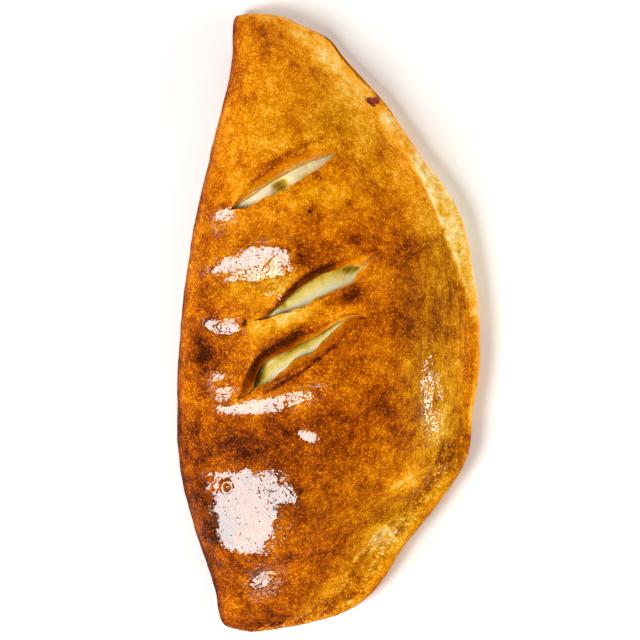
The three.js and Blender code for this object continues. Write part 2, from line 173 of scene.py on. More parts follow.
# Slits, from the near one to the far one. The lens is how far the cut bowed out on its far and on
# its near side as it opened. Its edges then tore: far and near are where they lie on the skin, and
# under_far and under_near inside the crust, as distances from the line between the tips, given at
# shares of the way along it. Ragged is how torn the skin's edges are.
# The cut faces go from one tone at the lip to another at their foot, at shares of the way along; 0
# is pale crumb and 1 is burnt. Scorch is how far a lip's tone runs out over the skin. Shaded cream is
# the filling's tone under the far and under the near edge; a darker far tone is painted shade under the
# far lip.
SLITS = [
    dict(tips=((-45.1, -38.3), (18.8, 2.3)), lens=(11, 2.8), ragged=(0.25, 0.45), scorch=(1.6, 1.0),
         far=((0, 0), (0.08, 4.5), (0.165, 8.8), (0.25, 11.8), (0.32, 12.6), (0.42, 12.2),
              (0.56, 10.4), (0.67, 8.6), (0.77, 8.2), (0.87, 7.4), (0.96, 4), (1, 0)),
         near=((0, 0), (0.2, -0.9), (0.3, -1.6), (0.45, -2), (0.6, -2.6), (0.71, -2.8),
               (0.82, -2), (0.91, -0.3), (1, 0)),
         under_far=((0, 0), (0.1, 0), (0.14, 1), (0.165, 4), (0.21, 7.2), (0.295, 9), (0.38, 8.1),
                    (0.47, 6.2), (0.52, 6.7), (0.64, 5.7), (0.76, 5.9), (0.84, 6.1), (0.92, 5.1), (1, 0)),
         under_near=((0, 0), (0.1, -0.6), (0.155, 0.3), (0.26, -0.6), (0.34, 0.6), (0.4, 0.6),
                     (0.47, 2.7), (0.56, 0.8), (0.67, 2.1), (0.73, 2.8), (0.8, 4.2), (0.86, 5.2),
                     (0.92, 4.9), (1, 0)),
         cut=(((0, 0.5, 0.3), (0.1, 0.95, 0.6), (0.2, 1, 0.65), (0.5, 1, 0.55), (0.62, 0.8, 0.35),
               (0.8, 0.6, 0.2), (1, 0.6, 0.3)),
              ((0, 0.3, 0.1), (0.2, 0.7, 0.3), (0.5, 0.8, 0.4), (0.8, 0.75, 0.5), (1, 0.65, 0.5))),
         cream=(-0.05, 0.95)),
    dict(tips=((-37.5, 0.8), (25.1, 36.3)), lens=(6.4, 5.6), ragged=(0.15, 0.4), scorch=(1.5, 0.8),
         far=((0, 0), (0.1, -0.3), (0.2, 1.2), (0.29, 3.3), (0.4, 5.5), (0.51, 6.1), (0.61, 5),
              (0.71, 4), (0.82, 1.8), (1, 0)),
         near=((0, 0), (0.1, -3), (0.25, -5.2), (0.38, -6.6), (0.51, -6.7), (0.62, -7.7), (0.73, -9),
               (0.79, -7.6), (0.88, -4.1), (1, 0)),
         under_far=((0, 0), (0.1, -1.8), (0.16, -0.6), (0.24, 0.6), (0.36, 2.3), (0.47, 3),
                    (0.59, 2.8), (0.69, 1), (0.78, -0.4), (0.825, -3.2), (0.88, -2.6), (1, 0)),
         under_near=((0, 0), (0.1, -2.4), (0.16, -3), (0.23, -4), (0.35, -5.5), (0.51, -5.6),
                     (0.63, -6.7), (0.71, -7.8), (0.77, -5.4), (0.825, -3.6), (0.88, -2.8), (1, 0)),
         cut=(((0, 0.5, 0.3), (0.2, 0.85, 0.6), (0.35, 1, 0.85), (0.6, 1, 0.75), (0.7, 0.85, 0.4),
               (0.8, 0.65, 0.25), (1, 0.6, 0.2)),
              ((0, 0.3, 0.05), (0.3, 0.3, 0.1), (0.5, 0.75, 0.3), (0.75, 0.7, 0.3), (1, 0.4, 0.2))),
         cream=(0.2, 1.05)),
    dict(tips=((-49.2, 56), (4.1, 83.9)), lens=(8, 2.8), ragged=(0.15, 0.2), scorch=(1.3, 0.6),
         far=((0, 0), (0.2, 4.8), (0.36, 7.2), (0.54, 8.2), (0.68, 8), (0.81, 6.6), (0.95, 2.6),
              (1, 0)),
         near=((0, 0), (0.14, -3.6), (0.29, -3.3), (0.44, -4.3), (0.54, -3.8), (0.8, -3), (1, 0)),
         under_far=((0, 0), (0.18, 0.6), (0.32, 1.9), (0.5, 2.5), (0.65, 2.7), (0.78, 2.3),
                    (0.94, 1), (1, 0)),
         under_near=((0, 0), (0.14, -3.5), (0.29, -3.2), (0.44, -4.2), (0.54, -3.7), (0.8, -2.8),
                     (1, 0)),
         cut=(((0, 0.45, 0.05), (0.3, 0.66, 0.1), (0.7, 0.72, 0.1), (0.85, 0.5, 0.1), (1, 0.45, 0.1)),
              ((0, 0.35, 0.2), (1, 0.35, 0.2))),
         cream=(0.85, 0.95)),
]
SKIN_EDGES, UNDER_EDGES = ("far", "near"), ("under_far", "under_near")
SLIT_LIP = 1.3  # how far the dough beside a slit curled up
SLIT_LIP_REACH = 6
BOW_POWER = 0.8


def in_slit(slit, x, y):
    """Share of the way along a slit from its left tip, and distance to its far side."""
    left, right = (np.array(tip) for tip in slit["tips"])
    run = right - left
    from_left = np.stack((x - left[0], y - left[1]), -1)
    turned = np.array((-run[1], run[0]))
    return from_left @ run / (run @ run), from_left @ turned / math.hypot(*run)


def bow(share):
    """How far a slit's edge bows out: nothing at the tips, most at the middle."""
    inside = np.clip(share, 0, 1)
    return (4 * inside * (1 - inside)) ** BOW_POWER


def edge_line(slit, edge, share):
    """Distance of one of a slit's edges from the line between its tips, at a share of the way."""
    shares, offsets = np.array(slit[edge]).T
    return smooth_line(offsets, np.interp(share, shares, range(len(shares))))


def across_slit(slit, edges, x, y):
    """Share of the way along a slit, and distances from its line: here, far edge, near edge."""
    share, offset = in_slit(slit, x, y)
    return share, offset, *(edge_line(slit, edge, share) for edge in edges)


def oval(x, y, middle_x, middle_y, reach_along, reach_across, turn):
    """Distance from the middle of an oval, 1 on its edge; turn is in degrees from +X."""
    angle = math.radians(turn)
    along = (x - middle_x) * math.cos(angle) + (y - middle_y) * math.sin(angle)
    aside = (y - middle_y) * math.cos(angle) - (x - middle_x) * math.sin(angle)
    return np.hypot(along / reach_along, aside / reach_across)


# Swells and hollows of the top: middle, reach along and across, turn, rise.
SWELLS = [
    (-3, 5.5, 26, 6, 29, 3),  # roll between the slits
    (-22, -11, 22, 6, 30, -2.5),  # hollow above the near slit
    (-14, -36, 34, 7, 25, 2),  # roll below the near slit
    (-32, 26, 22, 11, 10, 2),  # bubble left of the middle slit
    (-38, -92, 24, 26, 80, 2.5),  # flat of the near left
    (-62, -15, 10, 8, 0, -1.5),  # dimple on the fold
    (50, -45, 50, 7, 95, -2.5),  # valley inside the seam
    (28, -103, 48, 6, 48, -2),  # valley to the near end
    (-30, 135, 16, 12, 70, 1.5),  # shoulder at the far end
    (32, -112, 11, 3, -35, -3),  # pinch in the seam
    (58, -82, 12, 4, -40, -1.5),  # pinch at the near corner
    (62, 44, 10, 4, 20, -1.5),  # pinch at the far seam
]
SIDE_FADE = 12  # relief fades out this close to the sides


def top(x, y):
    """Height of the top with its swells, which fade out towards the sides."""
    relief = sum(rise * np.exp(-oval(x, y, *place) ** 2) for *place, rise in SWELLS)
    for slit in SLITS:
        share, offset = in_slit(slit, x, y)
        far, near = (reach * bow(share) for reach in slit["lens"])
        beside = np.maximum(0, np.maximum(offset - far, -offset - near)) / SLIT_LIP_REACH
        relief = relief + SLIT_LIP * bow(share) * np.exp(-beside ** 2)
    from_sides = np.minimum(x - left_side(y), right_side(y) - x)
    return dome_top(x, y) + relief * smoothstep(from_sides, 0, SIDE_FADE)


# Blisters that the oven pressed flat, all facing the near left: middle, reach along and across,
# turn, radius of the flat.
FLAT_RISE = (0.28, 0.19, 0.001)  # rise per mm to the right, rise per mm away, its gain per mm away
FLAT_RIM = (1.35, 0.75)  # where a flat starts and where it is whole, as shares of its reach
FLAT_RAGGED = (0.12, 13)  # how uneven its rim is, and how far apart the dents in it are
FLATS = [
    (-39, -94, 30, 28, 5, 340),
    (-38, 29, 24, 11, 8, 260),
    (-53, -2, 11, 5, -10, 120),
    (-55, -29, 4, 6.5, 12, 90),
    (-51, -36, 7, 5.5, -30, 150),
    (-30, -39.8, 31, 6, 12, 220),
    (-10, -55, 8, 4.5, -15, 90),
    (-33, -128, 9, 5, 40, 80),
    (-52, 54, 6, 5, 30, 90),
]
# Creases: points along them, half width, depth (below 0 it is a ridge), added browning.
CREASES = [
    (((30, 104), (36.7, 96.6), (47.4, 72.7), (56.6, 46.4), (64.5, 28.5), (69.5, 14)), 1.8, 0.9, 0),
    (((24, -94), (27, -100), (30, -102), (34, -101.5), (35.5, -104), (34, -110)), 0.9, 0.7, 0.15),
    (((-15, -153), (1, -142), (7, -137)), 1.3, 0.9, 0.1),
    (((15, -112), (23, -118), (31, -119)), 1.0, 0.8, 0.1),
    (((28, -106), (35, -110), (38, -118)), 1.0, 0.7, -0.1),
    (((30, -98), (46, -85), (60, -69)), 3, -1.0, 0.1),
    (((29, -104), (44, -91), (58, -79)), 2.2, -0.8, -0.1),
    (((26, -85), (46, -75), (64, -71)), 0.9, -0.5, -0.12),
    (((24, -90), (44, -80), (60, -76)), 0.9, -0.4, -0.12),
    (((6, -115), (14, -124), (17, -136)), 1.2, 0.6, 0.08),
    (((-10, -114), (4, -108), (14, -99)), 0.8, -0.3, -0.08),
    (((-31, -34), (-26, -31.5), (-14, -24.5), (-5, -17.5), (3, -11)), 0.7, 0.7, 0.3),
    (((-29, -35.5), (-15, -27), (-6, -20)), 0.9, -0.5, 0),
]
BURST_BUBBLE = (-50.7, -81.4)
BUBBLE_RIM = (2.4, 0.9, 0.4)  # radius, half width, rise
BUBBLE_HOLLOW = (1.5, 0.6)  # radius, depth


def beside_line(x, y, line):
    """Distance from a bent line."""
    nearest = np.full(np.shape(x), 1e3)
    line = np.array(line, float)
    for start, end in zip(line[:-1], line[1:]):
        run = end - start
        share = np.clip(((x - start[0]) * run[0] + (y - start[1]) * run[1]) / (run @ run), 0, 1)
        apart = np.hypot(x - start[0] - share * run[0], y - start[1] - share * run[1])
        nearest = np.minimum(nearest, apart)
    return nearest


def lumps(points, reach, seed=0):
    """Smooth noise at points, about from -1 to 1, with lumps about reach apart."""
    places = np.asarray(points, float).reshape(-1, 3) / reach + 17.3 * seed
    return np.array([noise.noise(place) for place in places.tolist()])


def skin_top(x, y):
    """Height of the outside: the top with its flat blisters, creases and one burst bubble."""
    z = top(x, y)
    uneven, apart = FLAT_RAGGED
    ragged = 1 + uneven * lumps(np.stack((x, y, 0 * x), -1), apart, 34).reshape(np.shape(x))
    for middle_x, middle_y, *reach, radius in FLATS:
        from_x, from_y = x - middle_x, y - middle_y
        flat = top(np.array(middle_x), np.array(middle_y)) + FLAT_RISE[0] * from_x
        flat = flat + (FLAT_RISE[1] + FLAT_RISE[2] * middle_y) * from_y
        flat = flat - (from_x ** 2 + from_y ** 2) / (2 * radius)
        weight = smoothstep(oval(x, y, middle_x, middle_y, *reach) * ragged, *FLAT_RIM)
        z = z + (flat - z) * weight
    for line, half_width, depth, _ in CREASES:
        z = z - depth * np.exp(-(beside_line(x, y, line) / half_width) ** 2)
    from_bubble = np.hypot(x - BURST_BUBBLE[0], y - BURST_BUBBLE[1])
    radius, half_width, rise = BUBBLE_RIM
    z = z + rise * np.exp(-((from_bubble - radius) / half_width) ** 2)
    radius, depth = BUBBLE_HOLLOW
    z = z - depth * np.exp(-(from_bubble / radius) ** 2)
    from_sides = np.minimum(x - left_side(y), right_side(y) - x)
    return top(x, y) + (z - top(x, y)) * smoothstep(from_sides, 1, SIDE_FADE)


# Rows of points lie across the crust. They lie square to it at the tips and lean over to lie along
# the slits, so that each slit opens between two copies of one row.
TOP_COLUMNS = 186
BEND_COLUMNS = 8
FLAT_COLUMNS = 10
ROW_COUNTS = (108, 42, 66, 66)  # from the near tip, between the slits, to the far tip
SLIT_FADE = 30  # how far out the rows beyond the first and the last slit still bend round it
WALL_ROWS = 7
COARSE = 3  # the inside of the crust has one point for this many on the outside
END_STEPS = 80  # steps that close in on where a row meets a side


def slit_line(slit):
    """Where a slit's line crosses x = 0, and its slope."""
    (left_x, left_y), (right_x, right_y) = slit["tips"]
    slope = (right_y - left_y) / (right_x - left_x)
    return left_y - slope * left_x, slope


def row_lines(near_end, far_end):
    """The lines that the rows lean between: the two ends and the slits."""
    return np.array([(near_end, 0), *(slit_line(slit) for slit in SLITS), (far_end, 0)])


def lay_rows(lines, counts, ease=lambda share, segment: share):
    """For every row: the segment between two lines, the share of the way, and its own line."""
    segment = np.repeat(range(len(counts)), counts)
    share = np.concatenate([ease(np.arange(count) / count, k) for k, count in enumerate(counts)])
    segment, share = np.append(segment, len(counts) - 1), np.append(share, 1)
    middle, slope = (lines[segment] * (1 - share[:, None]) + lines[segment + 1] * share[:, None]).T
    return segment, share, middle, slope


def row_end(middle, slope, side):
    """Where each row's line meets a side of the body."""
    x = side(middle)
    for _ in range(END_STEPS):
        x = (x + side(middle + slope * x)) / 2
    return x


def spread_columns(count, closer_at_ends):
    """Shares of the way across for a row's points."""
    even = np.linspace(0, 1, count + 1)
    return closer_at_ends * (1 - np.cos(math.pi * even)) / 2 + (1 - closer_at_ends) * even


def pin_columns(spread, first, last, shares):
    """Moves two columns of a row to given shares of the way across, and the others with them."""
    return np.interp(spread, [0, spread[first], spread[last], 1], [0, *shares, 1])


def tip_shares(slit, left, right):
    """Where a slit's tips lie, as shares of the way across."""
    return [(tip[0] - left) / (right - left) for tip in slit["tips"]]


def lay_points(rows, ends, spreads):
    """The rows' points, whose columns go over from one slit's spread to the next one's."""
    (segment, share, middle, slope), (left, right) = rows, ends
    spreads = np.array(spreads)
    columns = spreads[segment] * (1 - share[:, None]) + spreads[segment + 1] * share[:, None]
    x = left[:, None] + (right - left)[:, None] * columns
    return x, middle[:, None] + slope[:, None] * x


class Skin:
    """Points and faces of a closed skin. Each point has a tone and is crumb (1) or skin (0)."""

    def __init__(self):
        self.points, self.tones, self.crumb, self.faces = [], [], [], []
        self.count = 0

    def add(self, points, tone=np.nan, crumb=0):
        """Adds points and gives their numbers. A point without a tone gets its own later."""
        points = np.asarray(points, float)
        shape = points.shape[:-1]
        size = int(np.prod(shape))
        self.points.append(points.reshape(-1, 3))
        self.tones.append(np.broadcast_to(tone, shape).reshape(-1))
        self.crumb.append(np.broadcast_to(crumb, shape).reshape(-1))
        self.count += size
        return np.arange(self.count - size, self.count).reshape(shape)

    def join(self, low, high):
        """Squares between two rows of the same length, facing up where high is farther off."""
        self.faces += np.stack((low[:-1], low[1:], high[1:], high[:-1]), 1).tolist()

    def taper(self, fine, coarse, flip):
        """Faces from a fine row to a coarse one, which has a point for each COARSE of the fine."""
        for k in range(len(coarse) - 1):
            a, b, c, d = fine[k * COARSE:k * COARSE + COARSE + 1]
            made = (a, b, coarse[k]), (b, c, coarse[k + 1], coarse[k]), (c, d, coarse[k + 1])
            self.faces += [face[::-1] if flip else face for face in made]

    def close(self, loop, flip):
        """A fan over a closed loop."""
        hub = self.add(np.concatenate(self.points)[loop].mean(0)[None])[0]
        turned = np.roll(loop, -1)
        if flip:
            loop, turned = turned, loop
        self.faces += np.stack((loop, turned, np.full(len(loop), hub)), 1).tolist()

    def wrap(self, tops, far_tops, unders, inward=False):
        """Closes rows over and under a body. A row that is slit has far tops of its own."""
        for row in range(len(tops) - 1):
            low = np.concatenate((far_tops[row], unders[row], far_tops[row, :1]))
            high = np.concatenate((tops[row + 1], unders[row + 1], tops[row + 1, :1]))
            self.join(*((high, low) if inward else (low, high)))
        self.close(np.concatenate((tops[0], unders[0])), flip=not inward)
        self.close(np.concatenate((tops[-1], unders[-1])), flip=inward)


TEAR = 2.2  # how far the torn edges wander, times a slit's ragged
TEAR_RUN = 70  # about a slit's length
TEAR_NOTCHES = (4.5, 1.9)  # how far apart the broad and the fine ones are
TEAR_FINE = 0.6  # how deep the fine ones are beside the broad ones


def torn(share, side):
    """Unevenness of a torn edge, about from -1 to 1, at shares of the way along a slit."""
    run = np.ravel(share) * TEAR_RUN
    apart = 9 * side  # the two sides tore in their own ways
    broad, fine = TEAR_NOTCHES
    rough = lumps(np.stack((run, 0 * run + apart, 0 * run), 1), broad, 1)
    rough = rough + TEAR_FINE * lumps(np.stack((run, 0 * run, 0 * run + apart), 1), fine, 2)
    return rough.reshape(np.shape(share)) * np.minimum(1, 3 * bow(share))


def slit_across(slit):
    """Direction across a slit, to its far side."""
    _, slope = slit_line(slit)
    return np.array((-slope, 1)) / math.hypot(1, slope)


def bend_rows(x, y, weights, edges, rough):
    """Moves rows aside round the slits; weights has a far and a near weight a row for each slit."""
    moved_x, moved_y = x, y
    for slit, sides in zip(SLITS, weights):
        share, _ = in_slit(slit, x, y)
        for side, edge in enumerate(edges):
            move = edge_line(slit, edge, share) + rough * slit["ragged"][side] * torn(share, side)
            move = np.where((share > 0) & (share < 1), move, 0) * sides[side][:, None]
            moved_x = moved_x + move * slit_across(slit)[0]
            moved_y = moved_y + move * slit_across(slit)[1]
    return moved_x, moved_y


def row_weights(segment, share, middle, slit_rows):
    """How far each row bends with a slit's far and near edge. A slit's own row is its near edge."""
    weights = []
    for k, row in enumerate(slit_rows):
        fade = np.maximum(0, 1 - abs(middle - middle[row]) / SLIT_FADE)
        near_weight = np.where(segment == k, share if k else fade, 0)
        far_weight = np.where(segment == k + 1, fade if k == len(SLITS) - 1 else 1 - share, 0)
        near_weight[row], far_weight[row] = 1, 0
        weights.append((far_weight, near_weight))
    return weights


def far_copy(x, y, row, k, edges, rough):
    """A slit's own row again, moved to its far edge."""
    weights = [(np.ones(1) * (j == k), np.zeros(1)) for j in range(len(SLITS))]
    far_x, far_y = bend_rows(x[row:row + 1], y[row:row + 1], weights, edges, rough)
    return far_x[0], far_y[0]


lines = row_lines(-LENGTH / 2, LENGTH / 2)
rows = segment, share, middle, slope = lay_rows(lines, ROW_COUNTS)
ends = left_end, right_end = [row_end(middle, slope, side) for side in (left_side, right_side)]
slit_rows = np.cumsum(ROW_COUNTS)[:-1]
spread = spread_columns(TOP_COLUMNS, closer_at_ends=0.55)
spreads, slit_columns = [spread], []
for slit, row in zip(SLITS, slit_rows):
    shares = tip_shares(slit, left_end[row], right_end[row])
    first, last = (int(round(np.interp(at, spread, range(len(spread))))) for at in shares)
    last -= (last - first) % COARSE
    slit_columns.append((first, last))
    spreads.append(pin_columns(spread, first, last, shares))
x, y = lay_points(rows, ends, spreads + [spread])
weights = row_weights(segment, share, middle, slit_rows)
top_x, top_y = bend_rows(x, y, weights, SKIN_EDGES, TEAR)

crust = Skin()
top_points = crust.add(np.stack((top_x, top_y, skin_top(top_x, top_y)), -1))

# the bends and the flat underside, from the right side to the left side
inset = np.minimum(BASE_INSET, (right_end - left_end) * BASE_SHARE)
angles = np.linspace(0, math.pi / 2, BEND_COLUMNS + 2)[1:-1]
bend = 1 - np.cos(angles)
flat = np.linspace(0, 1, FLAT_COLUMNS + 1)
flat_left, flat_right = left_end + inset, right_end - inset
under_x = np.concatenate((right_end[:, None] - inset[:, None] * bend,
                          flat_right[:, None] + (flat_left - flat_right)[:, None] * flat,
                          (left_end[:, None] + inset[:, None] * bend)[:, ::-1]), 1)
under_y = middle[:, None] + slope[:, None] * under_x
under_z = np.maximum(0, across(under_y, "under", SEAM_HEIGHT))
drop = 1 - np.sin(angles)
right_height = seam_side(middle + slope * right_end)[:, None]
left_height = fold_side(middle + slope * left_end)[:, None]
under_z[:, :BEND_COLUMNS] += (right_height - under_z[:, :BEND_COLUMNS]) * drop
under_z[:, -BEND_COLUMNS:] += (left_height - under_z[:, -BEND_COLUMNS:]) * drop[::-1]
under_points = crust.add(np.stack((under_x, under_y, under_z), -1))

far_tops = top_points.copy()
lips = []
for k, (slit, row) in enumerate(zip(SLITS, slit_rows)):
    first, last = slit_columns[k]
    between = slice(first + 1, last)
    far_x, far_y = (line[between] for line in far_copy(x, y, row, k, SKIN_EDGES, TEAR))
    far_tops[row, between] = crust.add(np.stack((far_x, far_y, skin_top(far_x, far_y)), -1))
    lips.append((far_tops[row, first:last + 1], top_points[row, first:last + 1]))
crust.wrap(top_points, far_tops, under_points)
skin_count = crust.count

# The hollow inside holds the filling, and the walls of the slits run down to it.
CAVITY_ALONG = (-0.82, 0.8)
CAVITY_SIDE = 9
CAVITY_SEAM_SIDE = 19.5
CAVITY_POWER = 4
CAVITY_END = 0.9956  # the first and the last row, as a share of the hollow's half length
CAVITY_EDGE = 12  # how far from its sides the roof comes down
CAVITY_ROUNDING = 6
CAVITY_SHOULDER = (1, 3)  # the roof's foot: least above the floor, and below the sides' height
CAVITY_ROWS = (22, 8, 12, 14)
CAVITY_COLUMNS = 60
SHUT_RISE = 2.5  # the crust keeps this much more thickness where a slit is shut below
SHUT_OPENING = 3  # openings narrower than this count as shutting
WALL_STRAIGHT = 0.4  # share of a cut face's fall that is straight, and the rest is an S
WALL_LUMPS = (0.5, 2.6)  # how far the crumb stands out of the cut faces, and how far apart
INSIDE_TONE = 0.1
cavity_middle = sum(CAVITY_ALONG) * LENGTH / 4
cavity_half = (CAVITY_ALONG[1] - CAVITY_ALONG[0]) * LENGTH / 4


def cavity_open(y):
    """How far the hollow is open across at y, from 0 at its ends to 1."""
    along = np.clip((y - cavity_middle) / cavity_half, -CAVITY_END, CAVITY_END)
    return np.sqrt(1 - np.abs(along) ** CAVITY_POWER)


def cavity_side(y, clear, side):
    """The hollow's left (0) or right (1) side, less a clearance."""
    left, right = left_side(y), right_side(y)
    middle = (left + right) / 2
    wide = (left + CAVITY_SIDE + clear, right - CAVITY_SEAM_SIDE - clear)[side]
    return middle + (wide - middle) * cavity_open(y)


def cavity_top(x, y, left, right, clear, sag):
    """Height of the hollow's roof, less a clearance and a sag."""
    above_floor, below_sides = CAVITY_SHOULDER
    side = np.maximum(FLOOR + clear + above_floor, (fold_side(y) + seam_side(y)) / 2 - below_sides)
    roof = np.maximum(top(x, y) - CRUST - clear - sag, side)
    edge = dome(np.minimum(x - left, right - x) / CAVITY_EDGE)
    return side + (roof - side) * edge * cavity_open(y)


def cavity_ends(middle, slope, clear):
    """Where each row's line meets the hollow's left and right side, less a clearance."""
    return [row_end(middle, slope, lambda y: cavity_side(y, clear, side)) for side in (0, 1)]


def cavity_floor(middle, slope, left, right, clear):
    """Two points a row along the bottom of the hollow."""
    rounding = CAVITY_ROUNDING * cavity_open(middle)
    x = np.stack((right - rounding, left + rounding), 1)
    y = middle[:, None] + slope[:, None] * x
    return np.stack((x, y, np.full(x.shape, FLOOR + clear)), -1)


lines = row_lines(cavity_middle - CAVITY_END * cavity_half,
                  cavity_middle + CAVITY_END * cavity_half)
rows = segment, share, middle, slope = lay_rows(lines, CAVITY_ROWS)
ends = left_end, right_end = cavity_ends(middle, slope, 0)
slit_rows = np.cumsum(CAVITY_ROWS)[:-1]
spread = spread_columns(CAVITY_COLUMNS, closer_at_ends=0.5)
spreads, inner_columns = [spread], []
for slit, row, (first, last) in zip(SLITS, slit_rows, slit_columns):
    shares = tip_shares(slit, left_end[row], right_end[row])
    steps = (last - first) // COARSE
    centre = np.interp(sum(shares) / 2, spread, range(len(spread)))
    start = int(round(centre - steps / 2))
    inner_columns.append((start, start + steps))
    spreads.append(pin_columns(spread, start, start + steps, shares))
x, y = lay_points(rows, ends, spreads + [spread])
weights = row_weights(segment, share, middle, slit_rows)
roof_x, roof_y = bend_rows(x, y, weights, UNDER_EDGES, TEAR)
roof_z = cavity_top(roof_x, roof_y, left_end[:, None], right_end[:, None], 0, 0)


def wall_tone(slit, side, along, depth):
    """Tone of a slit's cut face at a share of the way along it and of the way down."""
    stops, lip, foot = np.array(slit["cut"][side]).T
    return np.interp(along, stops, lip) * (1 - depth) + np.interp(along, stops, foot) * depth


slit_edges = []
for k, (slit, row) in enumerate(zip(SLITS, slit_rows)):
    between = slice(inner_columns[k][0], inner_columns[k][1] + 1)
    far_x, far_y = (line[between] for line in far_copy(x, y, row, k, UNDER_EDGES, TEAR))
    near_x, near_y = roof_x[row, between], roof_y[row, between]
    opened = np.hypot(far_x - near_x, far_y - near_y)
    shut = SHUT_RISE * smoothstep(opened, SHUT_OPENING, 0)
    far_z = cavity_top(far_x, far_y, left_end[row], right_end[row], 0, 0) + shut
    roof_z[row, between] += shut
    slit_edges.append([np.stack(edge, -1) for edge in
                       ((far_x, far_y, far_z), (near_x, near_y, roof_z[row, between]))])
roof_points = crust.add(np.stack((roof_x, roof_y, roof_z), -1), INSIDE_TONE, 1)
base_points = crust.add(cavity_floor(middle, slope, left_end, right_end, 0), INSIDE_TONE, 1)
far_roofs = roof_points.copy()
for k, (slit, row) in enumerate(zip(SLITS, slit_rows)):
    start, stop = inner_columns[k]
    far_roofs[row, start + 1:stop] = crust.add(slit_edges[k][0][1:-1], INSIDE_TONE, 1)
    feet = far_roofs[row, start:stop + 1], roof_points[row, start:stop + 1]
    made = np.concatenate(crust.points)
    fine = np.linspace(0, stop - start, len(lips[k][0]))
    walls = []
    for side in (0, 1):
        head = made[lips[k][side]]
        foot = np.stack([np.interp(fine, range(stop - start + 1), axis)
                         for axis in slit_edges[k][side].T], 1)
        depth = np.linspace(0, 1, WALL_ROWS + 1)[1:-1, None]
        down = WALL_STRAIGHT * depth + (1 - WALL_STRAIGHT) * smoothstep(depth, 0, 1)
        wall = head + (foot - head) * depth[..., None]
        wall[..., 2] = head[:, 2] + (foot - head)[:, 2] * down
        along, _ = in_slit(slit, wall[..., 0], wall[..., 1])
        rise, apart = WALL_LUMPS
        crumbly = rise * lumps(wall, apart, 3 + side).reshape(along.shape) * np.sin(math.pi * depth)
        wall[..., :2] += crumbly[..., None] * slit_across(slit)
        walls.append((wall, wall_tone(slit, side, along, depth)))
    near_wall = crust.add(*walls[1], 1)
    far_wall = near_wall.copy()
    far_wall[:, 1:-1] = crust.add(walls[0][0][:, 1:-1], walls[0][1][:, 1:-1], 1)
    for upper, lower in zip([lips[k][0], *far_wall[:-1]], far_wall):
        crust.join(lower, upper)
    for upper, lower in zip([lips[k][1], *near_wall[:-1]], near_wall):
        crust.join(upper, lower)
    crust.taper(far_wall[-1], feet[0], flip=True)
    crust.taper(near_wall[-1], feet[1], flip=False)
crust.wrap(roof_points, far_roofs, base_points, inward=True)


def mesh_piece(name, points, faces):
    """A smooth piece made from points in millimetres."""
    mesh = bpy.data.meshes.new(name)
    mesh.from_pydata((np.asarray(points) / 1000).tolist(), [], faces)
    mesh.shade_smooth()
    piece = bpy.data.objects.new(name, mesh)
    bpy.context.scene.collection.objects.link(piece)
    return piece


def paint(piece, **values):
    """Keeps a number a point, for the piece's material to read."""
    for name, value in values.items():
        made = piece.data.attributes.new(name, "FLOAT", "POINT")
        made.data.foreach_set("value", np.ascontiguousarray(value, np.float32))


RIDGE_INNER, RIDGE_OUTER = (20, 14), (3, 8)  # distances from the edge where the crags fade in
RIDGE_START = (-40, -65)
RIDGE_WIDENS = (-95, -120)
RIDGE_WIDER = 7


def on_ridge(x, y):
    """1 on the craggy crest of the seam's roll along the near half, and 0 beside it."""
    from_edge = right_side(y) - x
    widened = from_edge - RIDGE_WIDER * smoothstep(y, *RIDGE_WIDENS)
    ridge = smoothstep(widened, *RIDGE_INNER) * smoothstep(from_edge, *RIDGE_OUTER)
    return ridge * smoothstep(y, *RIDGE_START)


crust_points = np.concatenate(crust.points)
crust_piece = mesh_piece("baked_crust", crust_points, crust.faces)

# Oil lies on the skin in a thin broken film: wide smears, and pools that fill the skin's pores.
# They are listed with middle, reach along and across, turn, and a smear's amount.
DRY = 0.08  # away from the smears
LIP_OIL, LIP_OIL_REACH = 0.4, 1.2  # oil that stood along the slits
RIDGE_OIL, GLITTER_OIL = 0.2, 0.4
SMEARS = [
    (-42, -98, 26, 28, 0, 0.42), (-53, -31, 9, 9, 0, 0.42), (-18, -37, 24, 5, 16, 0.45),
    (-38, 27, 24, 12, 8, 0.34), (-25, 78, 26, 4, 27, 0.3), (51, -38, 7, 28, 2, 0.4),
    (47, -84, 20, 5, 40, 0.12), (24, -110, 34, 6, 50, 0.3), (-33, -132, 16, 9, 35, 0.4),
    (-54, 0, 14, 7, -10, 0.36), (-52, 50, 10, 9, 0, 0.34), (-10, -56, 12, 5, 0, 0.3),
    (8, -8, 30, 6, 30, 0.14), (-36, -42, 26, 4, 2, 0.4), (-28, 20, 10, 12, 0, 0.3),
]
POOLS = [
    (-44, -80, 14, 6.5, -3), (-30, -82, 13, 7, -12), (-20, -84, 7.5, 5.5, -15), (-41.5, -92, 14, 8, 0),
    (-48, -103, 11, 6, 90), (-38, -103, 12, 9, 85), (-42, -108, 9, 7, 0), (-52, -86, 5, 9, 10),
    (-31, -95, 8, 5, 70),
    (-47, 29.5, 9, 2.4, -12), (-37, 32, 8, 4, 15), (-26, 34, 8.5, 5, -10), (-23, 26, 3.2, 9, 12),
    (-56, 27, 7, 1.8, 15), (-41, 20, 9, 1.2, -3), (-29, 17, 3, 2.2, 60), (-58, 0.5, 3.5, 3, 0),
    (-51, -3.5, 7, 2.4, -10), (-46, -42.3, 10, 2.4, -3), (-36, -41, 9, 2.2, 10), (-26, -38.6, 6, 1.3, 14),
    (-11, -55.5, 6, 2.2, -18), (-6, -59, 3, 0.9, -40), (-35, -126.5, 5, 2, 42), (-31, -129.5, 5, 1.2, 38),
    (-52, 53, 4.5, 3.4, 35),
]
POOL_RAGGED = ((0.45, 5, 32), (0.4, 2.2, 33))  # how uneven the pools' rims are, reach, seed
